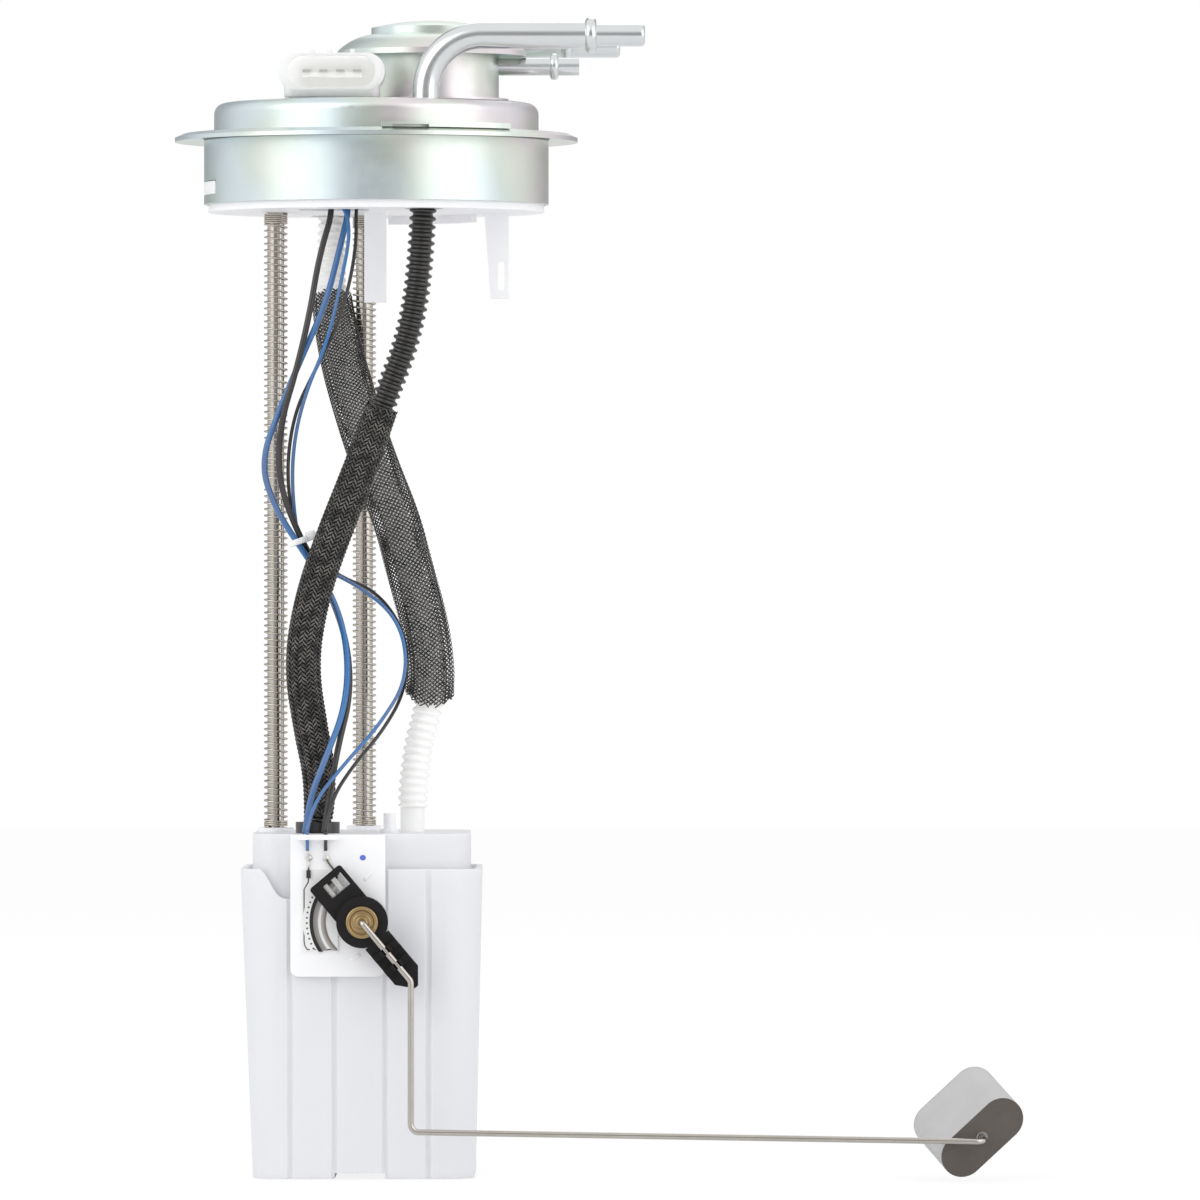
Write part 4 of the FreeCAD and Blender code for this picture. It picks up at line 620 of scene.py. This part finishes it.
# Guide rods: ground steel rods with an upset head under the cover, each held below by a spring clip in a
# groove.
rod_steel = Finish("rod_steel", Metallic=1.0)
drawn = rod_steel.clouds(1.0, 2.0, rod_steel.stretch(2500.0, 2500.0, 60.0))
rod_steel.set(Base_Color=rod_steel.blend(rod_steel.clouds(60.0), (0.42, 0.39, 0.35, 1.0),
                                         (0.60, 0.57, 0.53, 1.0)),
              Roughness=0.12 + drawn * 0.14)
rod_steel.relief(drawn, 0.00001)


def finish_nodes(finish, *names):
    """CAD pieces whose shape is right keep it and get this finish."""
    for name in names:
        cad[name].data.materials.clear()
        cad[name].data.materials.append(finish.owner)


finish_nodes(rod_steel, "left_guide_rod", "right_guide_rod", "left_rod_clip", "right_rod_clip")

# Cover: pressed steel, zinc plated and passivated, so that it shimmers faintly from green to blue and rose.
# The flange, cap, cup and vent tower are drawn and spun, then welded, and carry fine rings from the tools.
# The seam round the cup, under the flange, is painted dark as painted shade in its groove.
zinc = Finish("zinc_steel", Metallic=1.0)
zinc_x, zinc_y, zinc_z = zinc.places()
hue = zinc.clouds(16.0, 2.0) * 1.5 - 0.25 + zinc_x * 2.0
film_colours = (
    (0.10, (0.66, 0.74, 0.82, 1.0)), (0.32, (0.69, 0.78, 0.80, 1.0)), (0.48, (0.68, 0.755, 0.71, 1.0)),
    (0.60, (0.74, 0.775, 0.71, 1.0)), (0.72, (0.80, 0.745, 0.77, 1.0)), (0.90, (0.73, 0.76, 0.82, 1.0)),
)
film = zinc.node("ShaderNodeValToRGB", {"stops": film_colours}, {"Fac": hue})
seam_radius, seam_bottom, seam_top = 0.0628, -0.0013, 0.0009
within_seam = (seam_radius - (zinc_x * zinc_x + zinc_y * zinc_y) ** 0.5).between(0.0, 0.0003)
over_seam = (zinc_z - seam_bottom).between(0.0, 0.0006)
under_seam = (seam_top - zinc_z).between(0.0, 0.0003)
# painted shade: a thin band at the seam round the cup is painted near black, for the shadow in its groove
painted_seam_shade = within_seam * over_seam * under_seam
spun = zinc.clouds(1.0, 2.0, zinc.stretch(40.0, 40.0, 1500.0))
zinc.set(Base_Color=zinc.blend(painted_seam_shade * 0.9, film, (0.05, 0.06, 0.055, 1.0)),
         Roughness=0.27 + zinc.clouds(300.0) * 0.10 + spun * 0.07)
zinc.relief(zinc.clouds(70.0, 3.0) * 0.7 + spun * 0.1, 0.00012, 0.5)
finish_nodes(zinc, "cover_plate", "skirt_cup", "vent_tower", "tower_cap")

# Fuel tubes: bright plated steel tube, bent over rollers and brazed into the cap, with upset beads that a
# quick connector locks behind.
bright = Finish("bright_tube", Metallic=1.0)
rolled = bright.clouds(1.0, 2.0, bright.stretch(30.0, 900.0, 900.0))
bright.set(Base_Color=bright.blend(bright.clouds(35.0), (0.70, 0.745, 0.76, 1.0), (0.79, 0.79, 0.79, 1.0)),
           Roughness=0.16 + rolled * 0.14)
bright.relief(rolled, 0.00001)
finish_nodes(bright, "feed_tube", "return_tube", "vent_tube")

# Connector: a milky nylon shell that stands on a pale gasket, with four tinned blades moulded in. Light comes
# through its walls and fills the socket, which the glow stands for. It grows from the socket's mouth inwards.
milky = Finish("milky_nylon", Subsurface_Weight=0.9, Subsurface_Radius=(0.015, 0.015, 0.015),
               Subsurface_Scale=1.0, Coat_Weight=0.15, Coat_Roughness=0.2, Emission_Strength=1.0)
socket_x, socket_z = -0.0151, 0.0222
socket_half_x, socket_half_z, socket_depth = (0.0164, 0.0158), (0.0062, 0.0058), (-0.0450, -0.0400)
shell_x, shell_y, shell_z = milky.places()
within_width = (shell_x - socket_x).size().between(*socket_half_x)
within_height = (shell_z - socket_z).size().between(*socket_half_z)
glow = shell_y.between(*socket_depth) * within_width * within_height
milky.set(Base_Color=milky.blend(milky.clouds(60.0), (0.88, 0.89, 0.90, 1.0), (0.93, 0.93, 0.93, 1.0)),
          Roughness=0.26 + milky.clouds(300.0) * 0.14,
          Emission_Color=milky.blend(glow, (0.0, 0.0, 0.0, 1.0), (0.17, 0.17, 0.16, 1.0)))
milky.relief(milky.clouds(500.0, 2.0), 0.00005)
finish_nodes(milky, "connector_shell")
tin = Finish("terminal_tin", Metallic=1.0)
tin.set(Base_Color=tin.blend(tin.clouds(300.0), (0.66, 0.65, 0.63, 1.0), (0.80, 0.79, 0.76, 1.0)),
        Roughness=0.28 + tin.clouds(900.0) * 0.2)
finish_nodes(tin, "connector_terminals")
silicone = Finish("pale_silicone", Subsurface_Weight=0.4, Subsurface_Radius=(0.003, 0.003, 0.003))
silicone.set(Base_Color=silicone.blend(silicone.clouds(200.0), (0.80, 0.81, 0.82, 1.0),
                                       (0.88, 0.88, 0.88, 1.0)),
             Roughness=0.5 + silicone.clouds(500.0) * 0.1)
finish_nodes(silicone, "connector_gasket", "check_valve")

# Retainer and the other acetal pieces: satin white. The retainer is pushed up into the cup until its tabs
# snap into the slots, the bushes and fittings are moulded and pressed in.
finish_nodes(white_plastic, "retainer", "left_guide_bush", "right_guide_bush", "vent_fitting", "return_spout",
             "rollover_valve_body", "jet_pump")

# Reservoir: a deep cup blown in translucent white plastic, closed by a moulded lid that snaps into its rim.
# Light comes through the thin walls from all sides, which its faint even glow stands for.
clear_white = Finish("clear_white", Subsurface_Weight=0.4, Subsurface_Radius=(0.004, 0.004, 0.004),
                     Subsurface_Scale=1.0, Coat_Weight=0.06, Coat_Roughness=0.35,
                     Emission_Color=(0.060, 0.061, 0.066, 1.0), Emission_Strength=1.0)
thickness = clear_white.clouds(22.0, 2.0)
clear_white.set(Base_Color=clear_white.blend(thickness, (0.73, 0.74, 0.76, 1.0), (0.77, 0.775, 0.79, 1.0)),
                Roughness=0.40 + clear_white.clouds(180.0) * 0.12)
clear_white.relief(clear_white.clouds(90.0, 3.0) * 0.6 + clear_white.clouds(900.0, 2.0) * 0.1, 0.0002, 0.6)
finish_nodes(clear_white, "reservoir_cup", "reservoir_lid")
finish_nodes(natural_nylon, "natural_hose_cuff")
finish_nodes(black_nylon, "hose_collar")

# Pump and fuel path inside: a drawn steel can with moulded ends on a rubber isolator, a nylon elbow, a plated
# regulator and a woven strainer sock.
rubber = Finish("black_rubber")
rubber.set(Base_Color=rubber.blend(rubber.clouds(200.0), (0.022, 0.022, 0.022, 1.0),
                                   (0.045, 0.043, 0.042, 1.0)),
           Roughness=0.6 + rubber.clouds(500.0) * 0.2)
rubber.relief(rubber.clouds(1800.0, 2.0), 0.00004)
finish_nodes(rubber, "pump_isolator")
pump_steel = Finish("pump_steel", Metallic=1.0)
turned_rings = pump_steel.clouds(1.0, 2.0, pump_steel.stretch(30.0, 30.0, 2500.0))
pump_steel.set(Base_Color=pump_steel.blend(pump_steel.clouds(50.0), (0.62, 0.63, 0.64, 1.0),
                                           (0.72, 0.72, 0.72, 1.0)),
               Roughness=0.24 + turned_rings * 0.18)
pump_steel.relief(turned_rings, 0.00002)
finish_nodes(pump_steel, "fuel_pump", "pressure_regulator", "rollover_valve_spring")
finish_nodes(black_nylon, "pump_inlet_end", "pump_outlet_end", "outlet_elbow", "rollover_valve_float")
mesh_cloth = Finish("strainer_mesh", Roughness=0.7)
threads_a_metre = 6000.0
warp, weft = [(place * threads_a_metre).wave() for place in mesh_cloth.places()[:2]]
mesh_cloth.set(Base_Color=mesh_cloth.blend(warp * weft * 0.5 + 0.5, (0.62, 0.61, 0.57, 1.0),
                                           (0.84, 0.83, 0.80, 1.0)))
mesh_cloth.relief(warp * weft, 0.0001)
finish_nodes(mesh_cloth, "inlet_strainer")

# Sender: an acetal holder with a small ceramic card, on which the conductive tracks are printed and fired,
# round the wiper's pivot. Two wires are soldered above the card, and a chip trims the reading.
finish_nodes(white_plastic, "sender_holder")
pivot_x, pivot_z = -0.0041, -0.2806
carbon_inner, carbon_outer = 0.0176, 0.0189
dots_inner, dots_outer, dots_a_radian = 0.0195, 0.0202, 66.0


def about_pivot(finish):
    """Distance from the pivot and angle round it, in the plane of the card."""
    x, _, z = finish.places()
    x, z = x - pivot_x, z - pivot_z
    return (x * x + z * z) ** 0.5, x.sum("ARCTAN2", z, x)


def printed(finish, ground):
    """The ground's colour with the black carbon track and the row of dots on it, and the carbon's place."""
    reach, bearing = about_pivot(finish)
    carbon = (reach > carbon_inner) * ((carbon_outer - reach) > 0.0)
    dots = (reach > dots_inner) * ((dots_outer - reach) > 0.0) * ((bearing * dots_a_radian).wave() > 0.55)
    inked = finish.blend(carbon, ground, (0.014, 0.012, 0.010, 1.0))
    return finish.blend(dots, inked, (0.10, 0.105, 0.10, 1.0)), carbon


ceramic = Finish("ceramic_card", Coat_Weight=0.1, Coat_Roughness=0.2)
glaze = ceramic.blend(ceramic.clouds(400.0), (0.86, 0.865, 0.87, 1.0), (0.91, 0.91, 0.91, 1.0))
ceramic.set(Base_Color=printed(ceramic, glaze)[0], Roughness=0.36 + ceramic.clouds(900.0) * 0.1)
finish_nodes(ceramic, "sender_card")
tracks = Finish("printed_tracks", Roughness=0.34)
inner_width, track_gap, outer_width, tracks_end = (0.0131, 0.0149), 0.0154, (0.0159, 0.0177), 0.0178
reach = about_pivot(tracks)[0]
outer = tracks.blend(reach.between(*outer_width), (0.42, 0.41, 0.40, 1.0), (0.27, 0.255, 0.24, 1.0))
inner = tracks.blend(reach.between(*inner_width), (0.24, 0.20, 0.165, 1.0), (0.55, 0.545, 0.54, 1.0))
metals = tracks.blend(reach > track_gap, inner, outer)
beyond = reach > tracks_end
track_colour, carbon = printed(tracks, tracks.blend(beyond, metals, (0.88, 0.88, 0.88, 1.0)))
tracks.set(Base_Color=track_colour, Metallic=(1.0 - beyond.most(carbon)) * 0.6)
finish_nodes(tracks, "resistor_tracks")
finish_nodes(tin, "solder_joints")
chip = Finish("chip_resistor")
chip.set(Base_Color=chip.blend(chip.clouds(1400.0), (0.012, 0.014, 0.010, 1.0), (0.040, 0.044, 0.030, 1.0)),
         Roughness=0.35 + chip.clouds(2000.0) * 0.2)
finish_nodes(chip, "chip_resistor")

# Sender's leads: the two thin wires drop straight from the holder's bar to the solder, stripped for the last
# 2 mm. A printed line runs from the chip round the tracks, and a bright strip joins the right wire to the
# wiper's side.
lead_xs = (-0.0237, -0.0172)
lead_top, strip_top, lead_end, strip_end = -0.2484, -0.2550, -0.2553, -0.2577
lead_y, strand_y = -0.0427, -0.0425
lead_radius, strand_radius = 0.00064, 0.0004
holder_inside_y, card_inside_y, card_print_y = -0.0414, -0.04225, -0.04236


def falling(x, y, top, bottom):
    """A line of points straight down at x and y."""
    rows = 8
    return np.column_stack([np.full(rows, x), np.full(rows, y), np.linspace(top, bottom, rows)])


def ribbon(corners, back, front, half_width):
    """Grid of a flat line on the card: the corners' polyline, cut across at each corner along the bisector,
    with a section of half_width to each side and from back to front in Y."""
    path = np.array(corners)
    step = np.diff(path, axis=0)
    step /= np.linalg.norm(step, axis=1, keepdims=True)
    before, after = np.vstack([step[:1], step]), np.vstack([step, step[-1:]])
    mean = before + after
    mean /= np.linalg.norm(mean, axis=1, keepdims=True)
    side = np.column_stack([-mean[:, 1], mean[:, 0]]) / (mean * before).sum(axis=1)[:, None] * half_width
    section = [np.insert(path + sign * side, 1, y, axis=1)
               for sign, y in ((1, back), (1, front), (-1, front), (-1, back))]
    grid = np.stack(section, axis=1)
    caps = [np.repeat(grid[end].mean(axis=0)[None, None, :], 4, axis=1) for end in (0, -1)]
    return np.concatenate([caps[0], grid, caps[1]], axis=0)


for lead_x, lead_slot in zip(lead_xs, ("blue_wire", "black_wire")):
    lead_line = falling(lead_x, lead_y, lead_top, lead_end)
    sender_lead = grid_piece("sender_lead_" + lead_slot, round_tube(lead_line, lead_radius, wire_sides),
                             wire_finishes[lead_slot])
    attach(sender_lead, "reservoir")
    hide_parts("sender_wire_ends")
bare_strands = [round_tube(falling(lead_x, strand_y, strip_top, strip_end), strand_radius, 10)
                for lead_x in lead_xs]
stripped = grid_piece("stripped_ends", np.stack(bare_strands), tin)
print_line = Finish("printed_line", Metallic=0.5)
print_line.set(Base_Color=print_line.blend(print_line.clouds(900.0), (0.10, 0.092, 0.084, 1.0),
                                           (0.17, 0.16, 0.15, 1.0)),
               Roughness=0.35 + print_line.clouds(1500.0) * 0.1)
card_corners = ((-0.0233, -0.2648), (-0.0234, -0.2664), (-0.0249, -0.2690), (-0.0249, -0.2876),
                (-0.0246, -0.2892), (-0.0237, -0.2905), (-0.0130, -0.2905))
chip_corners = ((-0.0234, -0.2584), (-0.0233, -0.2624))
strip_corners = ((-0.0169, -0.2584), (-0.0161, -0.2598), (-0.0145, -0.2618), (-0.0126, -0.2638))
card_line = grid_piece("card_line", ribbon(card_corners, card_inside_y, card_print_y, 0.00021), print_line)
chip_lead = grid_piece("chip_lead", ribbon(chip_corners, holder_inside_y, card_print_y, 0.0003), tin)
wiper_strip = grid_piece("wiper_strip", ribbon(strip_corners, holder_inside_y, -0.0425, 0.0003), print_line)
for piece in (stripped, card_line, chip_lead, wiper_strip):
    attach(piece, "reservoir")
finish_nodes(wire_finishes["black_wire"], "pump_wire_ends")

# Marks on the holder: a dot of blue inspection paint, a flat drop with an oval outline, and two short ribs
# that stiffen the moulding beside the pivot.
spot_x, spot_z = -0.0040, -0.2578
spot_half_x, spot_half_z, spot_height = 0.0011, 0.0010, 0.00012
spot_sides = 20
holder_front_y = -0.0415
spot_angle = np.arange(spot_sides) * 2 * np.pi / spot_sides
spot_out = np.linspace(0.0, np.pi / 2, 6)[:, None]
spot = np.stack([spot_x + spot_half_x * np.sin(spot_out) * np.cos(spot_angle),
                 holder_front_y - spot_height * np.cos(spot_out) + 0 * spot_angle,
                 spot_z + spot_half_z * np.sin(spot_out) * np.sin(spot_angle)], axis=-1)
spot_back = np.broadcast_to(np.array((spot_x, holder_inside_y, spot_z)), (1, spot_sides, 3))
paint = Finish("blue_paint")
paint.set(Base_Color=paint.blend(paint.clouds(700.0), (0.055, 0.13, 0.62, 1.0), (0.16, 0.26, 0.74, 1.0)),
          Roughness=0.4 + paint.clouds(900.0) * 0.1)
paint_dot = grid_piece("paint_dot", np.concatenate([spot, spot_back], axis=0), paint)
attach(paint_dot, "reservoir")
rib_radius, rib_half_length = 0.0007, 0.0021


def short_rib(x, z, lean):
    """A low rib: a line at the lean angle, with a round section that shrinks to nothing at both ends."""
    share = np.linspace(-1.0, 1.0, 13)
    line = np.column_stack([x + rib_half_length * share * np.cos(lean), np.full(len(share), holder_inside_y),
                            z + rib_half_length * share * np.sin(lean)])
    return round_tube(line, rib_radius * np.sqrt(np.clip(1 - share ** 6, 0.0001, 1)), 12)


two_ribs = [short_rib(-0.0022, -0.2644, np.radians(49)), short_rib(-0.0066, -0.2932, np.radians(31))]
ribs = grid_piece("holder_ribs", np.stack(two_ribs), white_plastic)
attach(ribs, "reservoir")

# Wiper: a black moulded carrier that turns on a brass bush, with springy silver fingers on the tracks. The
# float wire runs out through the bush's centre and is clipped into the carrier's tail.
black_moulding = Finish("black_moulding", Specular_IOR_Level=0.25)
black_moulding.set(Base_Color=black_moulding.blend(black_moulding.clouds(200.0), (0.006, 0.005, 0.005, 1.0),
                                                   (0.014, 0.012, 0.012, 1.0)),
                   Roughness=0.36 + black_moulding.clouds(500.0) * 0.16)
black_moulding.relief(black_moulding.clouds(1500.0, 2.0), 0.00005)
finish_nodes(black_moulding, "wiper_carrier")
brass = Finish("brass", Metallic=1.0)
grooves = (about_pivot(brass)[0] * 5200.0).wave()
brass.set(Base_Color=brass.blend(brass.clouds(250.0), (0.28, 0.19, 0.085, 1.0), (0.46, 0.34, 0.18, 1.0)),
          Roughness=0.3 + grooves * 0.05)
brass.relief(grooves, 0.00012, 0.7)
finish_nodes(brass, "pivot_bush")
contact_silver = Finish("contact_silver", Metallic=1.0)
contact_silver.set(Base_Color=contact_silver.blend(contact_silver.clouds(500.0), (0.74, 0.73, 0.70, 1.0),
                                                   (0.86, 0.85, 0.83, 1.0)),
                   Roughness=0.2 + contact_silver.clouds(900.0) * 0.15)
finish_nodes(contact_silver, "wiper_contacts")
finish_nodes(rod_steel, "arm_wire", "push_nut")

# Float: a block of closed-cell nitrile rubber, free to turn on the wire's bent end. Its long side is painted
# pale grey as painted light, where it catches the lamps at a grazing angle, and the two ends are cut and show
# the dark foam.
float_rubber = Finish("float_rubber")
cells = float_rubber.node("ShaderNodeTexVoronoi", {}, {"Vector": float_rubber.place(), "Scale": 1500.0})
float_lean = np.array((-8.7, 40.0, 9.5))
float_axis = float_lean / np.linalg.norm(float_lean)
float_depths = np.array([vertex.co[:] for vertex in cad["float"].data.vertices]) @ float_axis
front_end, back_end = float(float_depths.min()), float(float_depths.max())
depth = float_rubber.node("ShaderNodeVectorMath", {"operation": "DOT_PRODUCT"},
                          {0: float_rubber.place(), 1: tuple(float_axis)}, "Value")
cut = 0.0003
lit_side_share = (depth > front_end + cut) * ((back_end - cut - depth) > 0.0)
foam = float_rubber.blend(float_rubber.clouds(90.0), (0.085, 0.072, 0.062, 1.0), (0.125, 0.108, 0.095, 1.0))
# painted light: the long sides get a pale grey for the light they catch; the rubber itself is as dark as the
# ends
painted_side_light = float_rubber.blend(float_rubber.clouds(60.0), (0.50, 0.495, 0.50, 1.0),
                                 (0.58, 0.575, 0.58, 1.0))
float_rubber.set(Base_Color=float_rubber.blend(lit_side_share, foam, painted_side_light),
                 Roughness=0.62 + float_rubber.clouds(400.0) * 0.2)
float_rubber.relief(cells * 0.6 + float_rubber.clouds(500.0) * 0.5, 0.00012, 0.7)
finish_nodes(float_rubber, "float")
